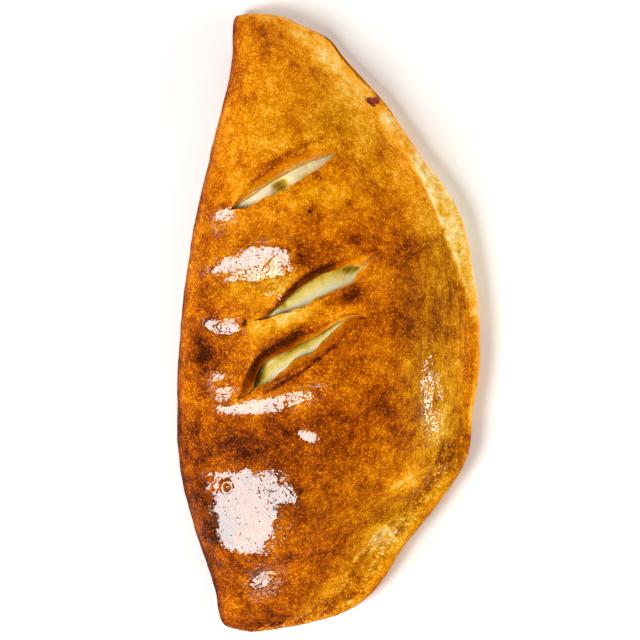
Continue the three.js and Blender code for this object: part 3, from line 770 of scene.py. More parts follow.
# Where the skin blistered finely, so that the oil on it glitters.
GLITTER = [
    (-54, -30, 7, 10, 10, 1), (-14, -36, 17, 4.5, 14, 1), (51, -42, 7, 22, 2, 0.8),
    (47, -84, 19, 5, 40, 0.45), (-32, -129, 10, 8, 38, 1), (-26, 22, 8, 9, 0, 0.6),
    (-52, 50, 9, 8, 0, 0.8), (-38, 30, 22, 8, 8, 0.5), (-52, 0, 9, 6, -10, 0.8),
    (-24, -79, 14, 9, 0, 0.5),
]


def glitter(x, y):
    """1 where the skin is finely blistered."""
    return np.clip(sum(add * np.exp(-oval(x, y, *place) ** 4) for *place, add in GLITTER), 0, 1)


def pooled(x, y):
    """1 in the pools of oil."""
    spots = np.stack((x, y, 0 * x), -1)
    ragged = 1
    for uneven, *grain in POOL_RAGGED:
        ragged = ragged + uneven * lumps(spots, *grain)
    return np.clip(sum(np.exp(-(oval(x, y, *place) * ragged) ** 8) for place in POOLS), 0, 1)


# The skin is uneven: broad lumps, small bubbles, finer ones where it glitters, streaks where it was
# pulled, and crags and wrinkles on the roll of the seam. The pools of oil fill it up.
BROAD, SMALL, FINE, FINER = 0.45, 0.28, 0.1, 0.12
STREAKS, CRAGS, WRINKLES = 0.3, 0.8, 0.9
FILLED = 0.75
PULLED_ACROSS, PULLED_FAR, PULLED_NEAR = (38, 24), (60, 30), (-90, -60)
ALONG_SEAM = (0.59, 0.81)  # direction of the wrinkles
facing = np.zeros(len(crust_points) * 3, np.float32)
crust_piece.data.vertex_normals.foreach_get("vector", facing)
facing = facing.reshape(-1, 3)[:skin_count]
outside = crust_points[:skin_count]
skin_x, skin_y, skin_z = outside.T
from_seam = right_side(skin_y) - skin_x
in_roll = on_ridge(skin_x, skin_y)
pulled = smoothstep(from_seam, *PULLED_ACROSS)
pulled *= smoothstep(skin_y, *PULLED_FAR) * smoothstep(skin_y, *PULLED_NEAR)
finely = glitter(skin_x, skin_y)
uneven = BROAD * lumps(outside, 17, 5) + SMALL * lumps(outside, 7, 6)
uneven += (FINE + FINER * finely) * lumps(outside, 3, 7)
away, aside = ALONG_SEAM
along_seam = outside @ np.array([(away, aside, 0), (aside, -away, 0), (0, 0, 1)])
wrinkles = lumps(along_seam * (0.4, 1, 0.5), 2.6, 9)
uneven += in_roll * (CRAGS * lumps(outside * (1, 1, 0.5), 5.5, 8) + WRINKLES * wrinkles)
uneven += pulled * STREAKS * lumps(outside * (1, 0.12, 1), 2.6, 10)
smoothed = np.maximum(0, pooled(skin_x, skin_y) - finely)
uneven *= smoothstep(skin_z, 1.5, 8) * (1 - FILLED * smoothed)
outside += facing * uneven[:, None]
outside[:, 2] = np.maximum(outside[:, 2], 0)
crust_piece.data.vertices.foreach_set("co", (crust_points / 1000).astype(np.float32).ravel())
crust_piece.data.update()

# Browning over the skin, added to an even bake: middle, reach along and across, turn, amount.
EVEN_BAKE = 0.56
BROWNING = [
    # the far third, golden
    (-20, 112, 45, 42, 0, -0.14), (-40, 95, 12, 10, 0, -0.06), (-44, 116, 8, 20, 10, 0.08),
    (-48, 126, 6, 14, 0, 0.1), (-42, 150, 9, 9, 0, 0.06), (-27, 138, 18, 12, 20, 0.03),
    (-15, 115, 8, 7, 0, 0.12), (-30, 128, 8, 8, 0, 0.1), (-6, 124, 7, 7, 0, 0.06),
    (-18, 145, 10, 4, -25, -0.12), (-4, 134, 12, 5.5, -38, -0.03), (4, 98, 12, 6, -30, 0.1),
    (9, 123, 8, 4, -48, -0.04), (15, 105, 4, 9, 15, -0.12),
    (26, 88, 4, 9, 0, 0.14), (-20, 83.2, 15, 1.9, 27, 0.3), (-36, 74, 9, 5, 27, -0.06),
    (-42, 66, 8, 9, 20, -0.1),
    (20, 84, 16, 10, -45, -0.12), (46, 66, 26, 8, -58, -0.12), (-58, 50, 5, 20, -12, 0.08),
    (-61, 54, 4, 10, 0, 0.1),
    # between the far and the middle slit
    (-50, 62, 9, 9, 0, -0.14), (-20, 56, 16, 4, 27, -0.12), (2, 62, 7, 5, 0, -0.2),
    (-50, 46, 9, 6, 0, -0.08), (-18, 46, 5, 5, 0, -0.1), (8, 50, 30, 13, 5, 0.06),
    (-10, 36, 8, 8, 0, 0.08), (12, 41, 4, 3, 0, 0.2), (-14, 31, 4, 6, 0, 0.22),
    (-32, 19, 18, 7, 0, -0.18), (-21, 17, 6, 7, 0, -0.16), (36, 34, 16, 9, 0, 0.16),
    (-62, 12, 8, 12, 0, 0.12),
    # round the middle and the near slit
    (44, 54, 8, 16, 20, -0.08), (54, 21, 6, 7, 0, -0.14),
    (62, 4, 5, 6, 0, -0.14), (60, 11, 8, 2.6, -10, 0.08),
    (46, 8, 24, 15, 80, 0.17), (52, -12, 9, 9, 0, 0.1), (9, 13, 9, 4, 20, 0.24),
    (-62, -16, 5, 5, 0, 0.24), (-62, -20, 16, 14, 0, 0.18), (-16, -5.5, 12, 4, 30, 0.22),
    (-36, -7, 7, 10, 0, -0.16), (-22, 2, 14, 5.5, 25, -0.34),
    (-12, 4, 9, 4, 25, -0.12), (-38, -18, 4, 12, 0, -0.12),
    (5, 3, 9, 3.5, 25, -0.3), (12, 2.5, 4, 2, 10, -0.25), (-65, -6, 6, 13, 0, 0.1),
    (58, -20, 8, 20, 0, -0.03), (-20, -33, 26, 3.5, 15, -0.08),
    # the near half, brown
    (-15, -50, 60, 75, 0, 0.07), (-5, -30, 30, 26, 0, 0.04),
    (27, -42, 9, 8, 0, 0.12), (34, -50, 26, 24, 0, 0.05),
    (-40, -60, 36, 13, -4, 0.2), (-5, -51, 8, 5, 0, 0.08), (-15, -62, 8, 5, 0, -0.1),
    (-66, -84, 30, 8, -76, 0.22), (-10, -98, 24, 26, 0, 0.13), (-44, -98, 20, 22, 0, 0.06),
    (-58, -112, 8, 24, -15, 0.2), (-40, -136, 24, 20, 0, 0.12), (8, -72, 26, 14, 0, 0.04),
    (54, -58, 6, 12, 10, -0.1), (32, -70, 14, 14, 0, -0.07), (61, -69, 10, 6.5, 35, 0.15),
    (46, -85, 14, 6, 40, 0.1), (43, -83, 5, 4, 0, -0.1),
    (67, -52, 4, 12, 0, 0.08), (24, -121, 5, 9, -35, 0.12),
    (40, -78, 12, 5, 24, -0.16), (48, -25, 6, 34, 4, -0.04), (60, -34, 8, 22, 6, -0.08),
    (27, -109, 14, 7, 55, -0.42), (12, -124, 16, 7, 40, -0.1),
    (-15, -136, 26, 14, 0, 0.05), (-38, -152, 16, 6, 5, 0.12), (2, -136, 10, 8, 0, -0.08),
]
# Dark dots and flecks: middle, size, amount.
FLECKS = [(-25.3, 54.5, 0.9, 0.3), (-9.6, 54.5, 0.9, 0.35), (-3, 118, 0.8, 0.3),
          (61, -25.6, 1.0, 0.35), (-41.6, -0.3, 1.6, 0.4), (30, 73, 0.9, 0.2),
          (48, 62, 0.8, 0.4), (58, 47, 0.8, 0.5), (66, 36, 0.8, 0.4)]
CREASE_BROWNS = 1.3  # a crease's tone reaches this much wider than the crease
POOL_BROWNS = 0.12
RIM_BROWNS, RIM_REACH = 0.2, 2.5  # all along the left rim
RIGHT_RIM_FROM = 84  # and on the right rim only beyond this
# Dough stretched thin along the far half of the seam stayed pale outside a groove that runs through
# these points. The groove is soft, and softest at its far end. Here and below, a pair says where a
# change of tone starts and where it is whole.
GROOVE_Y = (-8, 14, 28.5, 46.4, 72.7, 85, 96.6, 106)
GROOVE_X = (74, 69, 64, 56.6, 46, 35.5, 28, 23)
GROOVE_SOFTENS = (72, 90)
GROOVE_SOFTER = 2.4
PALE, PALE_MOTTLED = 0.4, 0.22
PALE_ENDS = (-12, 24), (112, 98)
PALE_BEAD = (0.14, 1.5, 1.2)  # palest along the groove: amount, distance beyond it, half width
# Other tones along the seam: amount, how mottled it is, changes by the distance from the edge, and
# changes by the place along it.
SEAM_TONES = [
    (-0.16, -0.12, ((26, 12), (-1, 2)), ((94, 112),)),  # the far end, pale
    (0.14, 0, ((2.5, 0.5),), ((105, 125),)),  # its brown rim
    (-0.1, 0, ((10, 6), (1, 4)), ((-70, -85),)),  # outside of the near half, away from the heat
    (-0.22, 0, ((3.5, 0.5),), ((20, 0), (-62, -45))),  # pale rim of the widest part
]


def seam_tone(x, y):
    """Browning that the seam adds to the skin."""
    from_edge = right_side(y) - x
    spots = np.stack((x, y, 0 * x), -1)
    mottled = lumps(spots * (1, 0.6, 1), 6, 30) + 0.6 * lumps(spots, 2.5, 31)
    beyond = x - np.interp(y, GROOVE_Y, GROOVE_X)
    soft = 1 + GROOVE_SOFTER * smoothstep(y, *GROOVE_SOFTENS)
    pale = smoothstep(beyond, -soft, 2.5 * soft)
    for fade in PALE_ENDS:
        pale = pale * smoothstep(y, *fade)
    amount, distance, half_width = PALE_BEAD
    bead = amount * np.exp(-((beyond - distance) / half_width) ** 2) / soft
    tone = -(PALE - 0.02 * soft + PALE_MOTTLED * mottled + bead) * pale
    for amount, mottling, across_fades, along_fades in SEAM_TONES:
        band = amount + mottling * mottled
        for fade in across_fades:
            band = band * smoothstep(from_edge, *fade)
        for fade in along_fades:
            band = band * smoothstep(y, *fade)
        tone = tone + band
    return tone


def browning(x, y):
    """Tone of the skin: 0 is pale and 1 is burnt."""
    tone = EVEN_BAKE + sum(add * np.exp(-oval(x, y, *place) ** 2) for *place, add in BROWNING)
    for middle_x, middle_y, size, add in FLECKS:
        tone = tone + add * np.exp(-(np.hypot(x - middle_x, y - middle_y) / size) ** 2)
    for line, half_width, _, add in CREASES:
        reach = half_width * CREASE_BROWNS
        tone = tone + add * np.exp(-(beside_line(x, y, line) / reach) ** 2)
    from_left, from_right = x - left_side(y), right_side(y) - x
    from_right = from_right + 9 * (y < RIGHT_RIM_FROM)
    at_rim = smoothstep(np.minimum(0.7 * from_left, from_right), RIM_REACH, 0)
    tone = tone + seam_tone(x, y) + RIM_BROWNS * at_rim + POOL_BROWNS * pooled(x, y)
    for slit in SLITS:
        share, offset, far, near = across_slit(slit, SKIN_EDGES, x, y)
        for side, beside in enumerate((offset - far, near - offset)):
            lip = wall_tone(slit, side, np.clip(share, 0, 1), 0)
            reach = slit["scorch"][side] * (0.3 + 0.7 * bow(share))
            over = np.exp(-(np.maximum(beside, 0) / reach) ** 2) * (beside > -0.6)
            over = over * ((share > -0.02) & (share < 1.02))
            tone = tone + (lip - tone) * over * (lip > tone)
    return tone


def oiliness(x, y):
    """How much oil lies on the skin."""
    film = DRY + sum(add * np.exp(-oval(x, y, *place) ** 2) for *place, add in SMEARS)
    for slit in SLITS:
        share, offset, far, near = across_slit(slit, SKIN_EDGES, x, y)
        beside = np.maximum(offset - far - 1.2, near - 0.8 - offset)
        film = film + LIP_OIL * np.exp(-(beside / LIP_OIL_REACH) ** 2) * bow(share)
    return film + RIDGE_OIL * on_ridge(x, y) + GLITTER_OIL * glitter(x, y)


# Where the oven's heat came late the skin is golden yellow under its brown: middle, reach along and
# across, turn, amount.
GOLDEN = [
    (57, 24, 18, 72, -8, 1), (57, -52, 13, 34, 12, 1), (14, -88, 30, 22, 0, 0.4),
    (30, -108, 34, 14, 48, 0.9),
    (-22, 2, 16, 6, 25, 0.9), (-34, 22, 22, 10, 0, 0.7), (10, 100, 40, 16, -60, 0.6),
    (-5, 62, 20, 8, 0, 0.4), (-20, 95, 26, 16, 0, 0.3), (0, -140, 20, 10, 10, 0.4),
]


def golden(x, y):
    """1 where the skin is golden."""
    return np.clip(sum(add * np.exp(-oval(x, y, *place) ** 2) for *place, add in GOLDEN), 0, 1)


CRUMB_OIL = 0.1
WRINKLE_BROWNS = 0.28
tones, crumb = np.concatenate(crust.tones), np.concatenate(crust.crumb).astype(float)
unpainted = np.isnan(tones)
tones[unpainted] = browning(*crust_points[unpainted, :2].T)
oil = np.where(crumb > 0, CRUMB_OIL, oiliness(*crust_points.T[:2]))
pools = np.where(crumb > 0, 0, pooled(*crust_points.T[:2]))
streaks, craggy = np.zeros((2, len(crust_points)))
streaks[:skin_count], craggy[:skin_count] = pulled, in_roll
tones[:skin_count] += WRINKLE_BROWNS * in_roll * wrinkles
blistered = np.where(crumb > 0, 0, glitter(*crust_points.T[:2]))
paint(crust_piece, browned=tones, crumb=crumb, oiled=oil, pooled=pools, pulled=streaks,
      craggy=craggy, blistered=blistered, golden=golden(*crust_points.T[:2]))


def colour(red, green, blue):
    """A colour given as it looks, from 0 to 255, as Blender holds it."""
    parts = (part / 255 for part in (red, green, blue))
    return *(part / 12.92 if part <= 0.04045 else ((part + 0.055) / 1.055) ** 2.4
             for part in parts), 1


def add_node(material, kind, inputs, output=0, **settings):
    """Adds a shader node with numbers or other nodes' outputs on its inputs; gives its output."""
    tree = material.node_tree
    made = tree.nodes.new(kind)
    for name, value in settings.items():
        setattr(made, name, value)
    for name, value in inputs.items():
        if isinstance(value, bpy.types.NodeSocket):
            tree.links.new(value, made.inputs[name])
        else:
            made.inputs[name].default_value = value
    return made.outputs[output]


def add_math(material, operation, first, second=0.0, clamp=False):
    return add_node(material, "ShaderNodeMath", {0: first, 1: second}, operation=operation,
                    use_clamp=clamp)


def add_painted(material, name):
    """The numbers that paint() kept under a name."""
    return add_node(material, "ShaderNodeAttribute", {}, "Fac", attribute_name=name)


def add_grain(material, place, per_metre, detail, strength):
    """Noise around 0."""
    grain = add_node(material, "ShaderNodeTexNoise", {
        "Vector": place, "Scale": per_metre, "Detail": detail, "Roughness": 0.6})
    return add_math(material, "MULTIPLY", add_math(material, "SUBTRACT", grain, 0.5), strength)


def add_all(material, *parts):
    total = parts[0]
    for part in parts[1:]:
        total = add_math(material, "ADD", total, part)
    return total


def add_shades(material, tone, shades):
    """Turns a tone from 0 to 1 into colours, through shades given at some tones."""
    ramp = material.node_tree.nodes.new("ShaderNodeValToRGB")
    steps = ramp.color_ramp.elements
    steps.remove(steps[1])
    for at, shade in shades:
        step = steps.new(at) if at else steps[0]
        step.color = shade
    material.node_tree.links.new(tone, ramp.inputs[0])
    return ramp.outputs[0]


def add_relief(material, main, relief, *sockets):
    """Relief in millimetres, on the main shader's normals."""
    bump = add_node(material, "ShaderNodeBump", {
        "Height": relief, "Distance": 0.001, "Strength": 1.0})
    for socket in sockets:
        material.node_tree.links.new(bump, main.inputs[socket])


def new_material(name, **shader):
    """A material with its main shader set; gives the material and the shader."""
    material = bpy.data.materials.new(name)
    material.use_nodes = True
    main = material.node_tree.nodes["Principled BSDF"]
    for socket, value in shader.items():
        main.inputs[socket.replace("_", " ")].default_value = value
    return material, main


# Specks of browning: how many a metre, detail, strength. The skin's fine relief likewise, in mm.
SPECKS = [(300, 2, 0.45), (130, 2, 0.4), (55, 2, 0.45)]
FINE_RELIEF = [(1000, 1, 0.04), (420, 1, 0.26), (160, 2, 0.3)]
BAKE_COLOURS = [
    (0, colour(241, 219, 172)), (0.2, colour(230, 180, 74)), (0.4, colour(232, 147, 0)),
    (0.55, colour(202, 114, 0)), (0.7, colour(163, 77, 0)), (0.85, colour(118, 47, 0)),
    (1, colour(60, 19, 0)),
]
GOLDEN_COLOURS = [
    (0, colour(242, 222, 178)), (0.2, colour(228, 192, 92)), (0.4, colour(212, 151, 6)),
    (0.55, colour(187, 124, 0)), (0.7, colour(155, 88, 0)), (0.85, colour(115, 52, 0)),
    (1, colour(60, 22, 0)),
]
baked, main = new_material("baked_dough", Roughness=0.6, Specular_IOR_Level=0.03,
                           Coat_Roughness=0.06, Coat_IOR=1.5)
place = add_node(baked, "ShaderNodeTexCoord", {}, "Object")

# the colour: fine bubbles, flecks and broader specks, on top of the painted browning, with painted
# glints: oily bubbles and the crags of the seam turn paler where they would catch the light
is_crumb = add_painted(baked, "crumb")
is_skin = add_math(baked, "SUBTRACT", 1.0, is_crumb)
bubbles = add_node(baked, "ShaderNodeTexVoronoi", {"Vector": place, "Scale": 560.0}, "Distance")
bubbles = add_math(baked, "MULTIPLY", add_math(baked, "SUBTRACT", 0.36, bubbles), 5.0, clamp=True)
in_patches = add_math(baked, "ADD", add_grain(baked, place, 260, 2, 5.0), 0.6, clamp=True)
bubbles = add_math(baked, "MULTIPLY", bubbles, in_patches)
flecks = add_all(baked, add_grain(baked, place, 1300, 1, 0.65), add_grain(baked, place, 650, 2, 0.55))
flecks = add_math(baked, "MINIMUM", flecks, 0.04)
# Bubbles are paler dots, a little by their own colour and much more where the skin is oily: painted
# glints of light on the oil.
glint_paling = add_math(baked, "MULTIPLY", add_painted(baked, "oiled"), -0.42)
glint_paling = add_math(baked, "ADD", glint_paling, -0.1)
is_craggy = add_painted(baked, "craggy")
# Pale dots on the crags of the seam's roll: painted glints, where oil on the crags would catch the light.
crag_glints = add_math(baked, "SUBTRACT", add_grain(baked, place, 620, 1, 1.6), 0.12)
crag_glints = add_math(baked, "MULTIPLY", add_math(baked, "MAXIMUM", crag_glints, 0.0), -1.6)
crag_glints = add_math(baked, "MULTIPLY", crag_glints, is_craggy)
speckle = add_all(baked, flecks, *(add_grain(baked, place, *speck) for speck in SPECKS),
                  add_math(baked, "MULTIPLY", bubbles, glint_paling), crag_glints, 0.07)
stretch = add_node(baked, "ShaderNodeMapping", {"Vector": place, "Scale": (1.0, 0.08, 1.0)})
lines_along = add_math(baked, "MULTIPLY", add_grain(baked, stretch, 700, 2, 0.4),
                       add_painted(baked, "pulled"))
uneven_bake_and_glints = add_math(baked, "MULTIPLY", add_all(baked, speckle, lines_along),
                       add_math(baked, "SUBTRACT", 1.0, add_math(baked, "MULTIPLY", is_crumb, 0.3)))
tone = add_math(baked, "ADD", add_painted(baked, "browned"), uneven_bake_and_glints)
baked_colour = add_node(baked, "ShaderNodeMixRGB", {
    "Fac": add_painted(baked, "golden"), "Color1": add_shades(baked, tone, BAKE_COLOURS),
    "Color2": add_shades(baked, tone, GOLDEN_COLOURS)})
baked.node_tree.links.new(baked_colour, main.inputs["Base Color"])

# oil, broken up where the skin is rough
is_pool = add_painted(baked, "pooled")
film = add_all(baked, add_painted(baked, "oiled"), add_grain(baked, place, 900, 2, 1.2),
               add_grain(baked, place, 300, 2, 0.8), add_math(baked, "MULTIPLY", is_pool, 0.7))
film = add_math(baked, "MULTIPLY", add_math(baked, "SUBTRACT", film, 0.45), 5.0, clamp=True)
baked.node_tree.links.new(film, main.inputs["Coat Weight"])

# relief in millimetres: pimples, wrinkles and pinholes of the skin, pores of the crumb
pores = add_node(baked, "ShaderNodeTexVoronoi", {"Vector": place, "Scale": 430.0}, "Distance")
pinhole = add_math(baked, "MULTIPLY", add_math(baked, "SUBTRACT", 0.18, pores), 0.6)
pinhole = add_math(baked, "MAXIMUM", pinhole, 0.0)
fine_relief = add_all(baked, *(add_grain(baked, place, *grain) for grain in FINE_RELIEF),
                      add_math(baked, "MULTIPLY", bubbles, 0.05))
rough = add_math(baked, "ADD", 1.0, add_math(baked, "MULTIPLY", is_craggy, 0.6))
blisters = add_painted(baked, "blistered")
rough = add_math(baked, "ADD", rough, add_math(baked, "MULTIPLY", blisters, 0.5))
smoothed = add_math(baked, "SUBTRACT", is_pool, blisters, clamp=True)
rough = add_math(baked, "SUBTRACT", rough, add_math(baked, "MULTIPLY", smoothed, 0.65))
fine_relief = add_math(baked, "MULTIPLY", fine_relief, rough)
fine_relief = add_math(baked, "SUBTRACT", fine_relief, pinhole)
crumb_relief = add_math(baked, "MULTIPLY", add_grain(baked, place, 500, 3, 0.5), is_crumb)
relief = add_math(baked, "ADD", add_math(baked, "MULTIPLY", fine_relief, is_skin), crumb_relief)
add_relief(baked, main, relief, "Normal", "Coat Normal")
crust_piece.data.materials.append(baked)
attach(crust_piece, "root")
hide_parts("crust")

# ---- The filling
# Melted cheese and ricotta fill the crust. They show in the slits as a pale torn skin near the
# top, stretched over holes, and as smooth yellow cheese further down.
GAP = 0.4  # between the filling and the crust
FILLING_ROWS = (26, 18, 22, 22)
FILLING_COLUMNS = 130
FILLING_DROP = 0.8  # how far it sank as it cooled
TROUGHS = ((3.5, 5), (2.5, 1.5), (0.4, 0))  # depth, and middle from the line between the tips
TROUGH_REACH = 7
TROUGH_ENDS = 0.42  # how far it runs from the slit's middle, as a share of the slit
TROUGH_RUN = 60
CLOSER_TO_SLITS = 2.2
CURDS = ((0.35, 4, 11), (0.2, 1.8, 12))  # rise, how far apart, seed
CURD_SINK = 0.35
# Holes torn in the skin, and strands across: middle, reach along and across, turn, rise.
TEARS = [
    (-24, 68.2, 4.4, 2.6, 28, -4.5), (-10, 73, 3.2, 1.2, 25, -1.0),
    (-34, 2, 2.6, 1.4, 20, -1.5), (-21.8, 8.4, 1.2, 2.0, 30, -1.0),
    (-28, 5, 4, 2, 30, 1.8), (11, 26.8, 4, 1.8, 10, -2.0), (-33, -26, 7, 4, 50, -1.2),
]


def filling_sag(x, y):
    """How far the filling hangs below the crust."""
    sag = np.full(np.shape(x), float(FILLING_DROP))
    for slit, (depth, across_at) in zip(SLITS, TROUGHS):
        share, offset = in_slit(slit, x, y)
        past = np.maximum(0, np.abs(share - 0.5) - TROUGH_ENDS) * TROUGH_RUN
        sag += depth * np.exp(-(np.hypot(offset - across_at, past) / TROUGH_REACH) ** 2)
    return sag - sum(rise * np.exp(-oval(x, y, *where) ** 3) for *where, rise in TEARS)


def closer_to_slits(share, segment):
    """Rows before the first and after the last slit lie closer the nearer they are to it."""
    if segment == 0:
        return 1 - (1 - share) ** CLOSER_TO_SLITS
    if segment == len(SLITS):
        return share ** CLOSER_TO_SLITS
    return share


segment, share, middle, slope = lay_rows(lines, FILLING_ROWS, closer_to_slits)
left_end, right_end = cavity_ends(middle, slope, GAP)
columns = spread_columns(FILLING_COLUMNS, closer_at_ends=0.3)
x = left_end[:, None] + (right_end - left_end)[:, None] * columns
y = middle[:, None] + slope[:, None] * x
z = cavity_top(x, y, left_end[:, None], right_end[:, None], GAP, filling_sag(x, y))
filling = Skin()
filling_top = filling.add(np.stack((x, y, z), -1))
filling_base = filling.add(cavity_floor(middle, slope, left_end, right_end, GAP))
filling.wrap(filling_top, filling_top, filling_base)
filling_points = np.concatenate(filling.points)
curds = sum(rise * lumps(filling_points, *grain) for rise, *grain in CURDS) - CURD_SINK
is_top = np.arange(len(filling_points)) < filling_top.size
filling_points[:, 2] += np.where(is_top, curds, 0) * (filling_points[:, 2] > FLOOR + 4)
cheese_piece = mesh_piece("melted_cheese", filling_points, filling.faces)

# Cream and shade: 1 is pale stretched curd, and lower tones down to 0 are olive dark, painted shade
# in the holes of the skin and under the slits' far lips. The one pale strand is the curd's own tone.
HOLE_SHADES_AND_STRANDS = [
    (-24, 68.2, 4.2, 2.7, 28, -0.8), (-10, 73, 3.4, 1.4, 25, -0.4), (-34.3, 2, 2.4, 1.3, 20, -0.6),
    (-21.8, 8.4, 1.1, 2.2, 30, -0.4), (10.8, 26.9, 4, 1.8, 8, -0.9), (-35, -28, 5, 4.5, 60, -0.25),
    (-29, 4.5, 5, 2.5, 20, 0.25),
]
CREAM_REACH = 12  # how far from a slit's line its own cream tones reach
AWAY_CREAM, AWAY_WEIGHT = 0.6, 0.1  # the tone away from the slits, and how much it weighs
cheese_x, cheese_y = filling_points.T[:2]
creamy, total = AWAY_CREAM * AWAY_WEIGHT + 0 * cheese_x, AWAY_WEIGHT + 0 * cheese_x
# Under each slit the tone goes from its pale near edge to its far edge, where a darker tone is painted
# shade under the lip.
for slit in SLITS:
    share, offset, far, near = across_slit(slit, UNDER_EDGES, cheese_x, cheese_y)
    far_tone, near_tone = slit["cream"]
    height = np.clip((offset - near) / np.maximum(far - near, 1), 0, 1)
    weight = np.exp(-(offset / CREAM_REACH) ** 2)
    creamy = creamy + weight * (near_tone + (far_tone - near_tone) * height)
    total = total + weight
creamy = creamy / total + sum(add * np.exp(-oval(cheese_x, cheese_y, *where) ** 6)
                              for *where, add in HOLE_SHADES_AND_STRANDS)
paint(cheese_piece, creamy=np.clip(creamy, 0, 1))

cheese, main = new_material("melted_curd", Roughness=0.38, Specular_IOR_Level=0.35,
                            Coat_Weight=0.15, Coat_Roughness=0.12, Subsurface_Weight=0.25,
                            Subsurface_Scale=0.002)
place = add_node(cheese, "ShaderNodeTexCoord", {}, "Object")
tone = add_all(cheese, add_painted(cheese, "creamy"), add_grain(cheese, place, 380, 3, 0.35),
               add_grain(cheese, place, 120, 2, 0.3))
# Dark olive at 0 is the colour of the painted shade, and the paler shades are the curd's own colours.
CREAM_COLOURS = [
    (0, colour(152, 112, 8)), (0.3, colour(216, 190, 48)), (0.6, colour(252, 236, 145)),
    (1, colour(255, 252, 228)),
]
cheese.node_tree.links.new(add_shades(cheese, tone, CREAM_COLOURS), main.inputs["Base Color"])
relief = add_all(cheese, add_grain(cheese, place, 700, 3, 0.15), add_grain(cheese, place, 250, 2, 0.4))
add_relief(cheese, main, relief, "Normal")
cheese_piece.data.materials.append(cheese)
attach(cheese_piece, "root")
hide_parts("cheese_filling")

# ---- The sauce
# Two drops of tomato sauce ran out on the far end of the seam and baked on: dark, sticky and
# wrinkled, with the oil shining on them.
# Drops that ran together: middle, radius.
SAUCE_DROPS = [(20.9, 112.2, 1.9), (24, 112.8, 2.0), (22.5, 112.2, 1.6), (22.4, 110.2, 1.2)]
SAUCE_RINGS = 14
SAUCE_SIDES = 28
SAUCE_DENTS = ((0.1, 0.8, 20), (0.05, 0.35, 21))  # depth and distance apart by the radius, seed
SAUCE_FLATTENED = 0.75
SAUCE_STANDS = 0.5  # how high a drop's middle stands over the skin, by its radius
SAUCE_LEAN = 2  # the skin's fall is taken over half a millimetre
drops = Skin()
for number, (middle_x, middle_y, size) in enumerate(SAUCE_DROPS):
    down = np.linspace(0, math.pi, SAUCE_RINGS + 2)[1:-1, None]
    turn = np.linspace(0, 2 * math.pi, SAUCE_SIDES, endpoint=False)
    ball = np.stack((np.sin(down) * np.cos(turn), np.sin(down) * np.sin(turn),
                     np.cos(down) + 0 * turn), -1)
    shape = 1 + sum(depth * lumps(ball + number, *grain) for depth, *grain in SAUCE_DENTS)
    drop = ball * shape.reshape(ball.shape[:2])[..., None] * size * (1, 1, SAUCE_FLATTENED)
    here = top(np.array(middle_x), np.array(middle_y))
    fall_x = top(np.array(middle_x + 1 / SAUCE_LEAN), np.array(middle_y)) - here
    drop[..., 2] += SAUCE_LEAN * fall_x * drop[..., 0]
    rings = drops.add(drop + (middle_x, middle_y, here + size * SAUCE_STANDS))
    closed = np.concatenate((rings, rings[:, :1]), 1)
    for upper, lower in zip(closed[:-1], closed[1:]):
        drops.join(lower, upper)
    drops.close(rings[0], flip=False)
    drops.close(rings[-1], flip=True)
sauce_piece = mesh_piece("baked_sauce", np.concatenate(drops.points), drops.faces)
sauce, main = new_material("baked_tomato", Roughness=0.6, Coat_Weight=0.25, Coat_Roughness=0.12,
                            Specular_IOR_Level=0.05)
place = add_node(sauce, "ShaderNodeTexCoord", {}, "Object")
tone = add_math(sauce, "ADD", add_grain(sauce, place, 700, 2, 1.4), 0.45)
SAUCE_COLOURS = [(0, colour(92, 10, 0)), (0.7, colour(140, 32, 0)), (1, colour(196, 80, 6))]
sauce.node_tree.links.new(add_shades(sauce, tone, SAUCE_COLOURS), main.inputs["Base Color"])
add_relief(sauce, main, add_grain(sauce, place, 800, 1, 0.2), "Normal", "Coat Normal")
sauce_piece.data.materials.append(sauce)
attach(sauce_piece, "root")
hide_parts("crust")

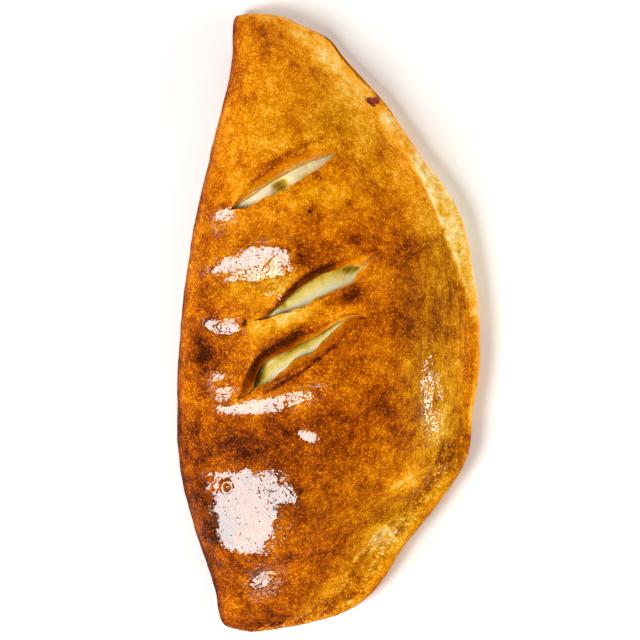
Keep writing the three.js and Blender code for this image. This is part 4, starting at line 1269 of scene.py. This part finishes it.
# ---- The floor
# A sheet of plain white board, matt. It lies flat under the calzone and is much wider than what
# the camera sees, so that none of its edges shows.
floor_mesh = bpy.data.meshes.new("white_floor")
BOARD_CORNERS = [(-4, -4, 0), (4, -4, 0), (4, 4, 0), (-4, 4, 0)]  # in metres
floor_mesh.from_pydata(BOARD_CORNERS, [], [(0, 1, 2, 3)])
floor = bpy.data.objects.new("white_floor", floor_mesh)
bpy.context.scene.collection.objects.link(floor)
board, main = new_material("white_board", Roughness=0.8, Specular_IOR_Level=0.1)
main.inputs["Base Color"].default_value = (0.92, 0.92, 0.925, 1)
floor_mesh.materials.append(board)

# ---- The lights and the camera
# Softboxes stand to the left and to the right, a low ring of white boards fills the sides, and
# the camera looks straight down from a metre above.
SOFTBOXES = [
    # name, place, width, length, power, colour
    ("left_softbox", (-0.70, -0.42, 1.0), 0.45, 0.6, 15.5, (1, 0.97, 0.94)),
    ("right_strip", (1.25, -0.25, 0.42), 0.21, 0.46, 7.5, (1, 0.92, 0.76)),
    ("near_board", (0.0, -1.7, 0.6), 1.8, 0.5, 12.0, (1, 1, 1)),
    ("far_board", (0.0, 1.7, 0.6), 1.8, 0.5, 20.0, (1, 1, 1)),
    ("left_board", (-1.7, 0.0, 0.45), 1.8, 0.4, 9.0, (1, 1, 1)),
    ("right_board", (1.7, 0.0, 0.6), 1.8, 0.5, 12.0, (1, 0.94, 0.82)),
]
for name, spot, width, length, power, tint in SOFTBOXES:
    lamp = bpy.data.lights.new(name, "AREA")
    lamp.shape = "RECTANGLE"
    lamp.size = width
    lamp.size_y = length
    lamp.energy = power
    lamp.color = tint
    holder = bpy.data.objects.new(name, lamp)
    bpy.context.scene.collection.objects.link(holder)
    holder.location = spot
    holder.rotation_euler = (-holder.location).to_track_quat("-Z", "Y").to_euler()

world = bpy.data.worlds.new("studio")
world.use_nodes = True
world.node_tree.nodes["Background"].inputs["Color"].default_value = (0.07, 0.07, 0.07, 1)
bpy.context.scene.world = world
bpy.context.scene.view_settings.view_transform = "Standard"

VIEW_MIDDLE = (-0.00456, 0.00127, 0.017)
CAMERA_RISE = 1.0
VIEW_WIDTH = 0.3245
camera_data = bpy.data.cameras.new("camera")
camera_data.sensor_width = 36
camera_data.lens = camera_data.sensor_width * CAMERA_RISE / VIEW_WIDTH
camera = bpy.data.objects.new("camera", camera_data)
bpy.context.scene.collection.objects.link(camera)
camera.location = VIEW_MIDDLE
camera.location.z += CAMERA_RISE
bpy.context.scene.camera = camera
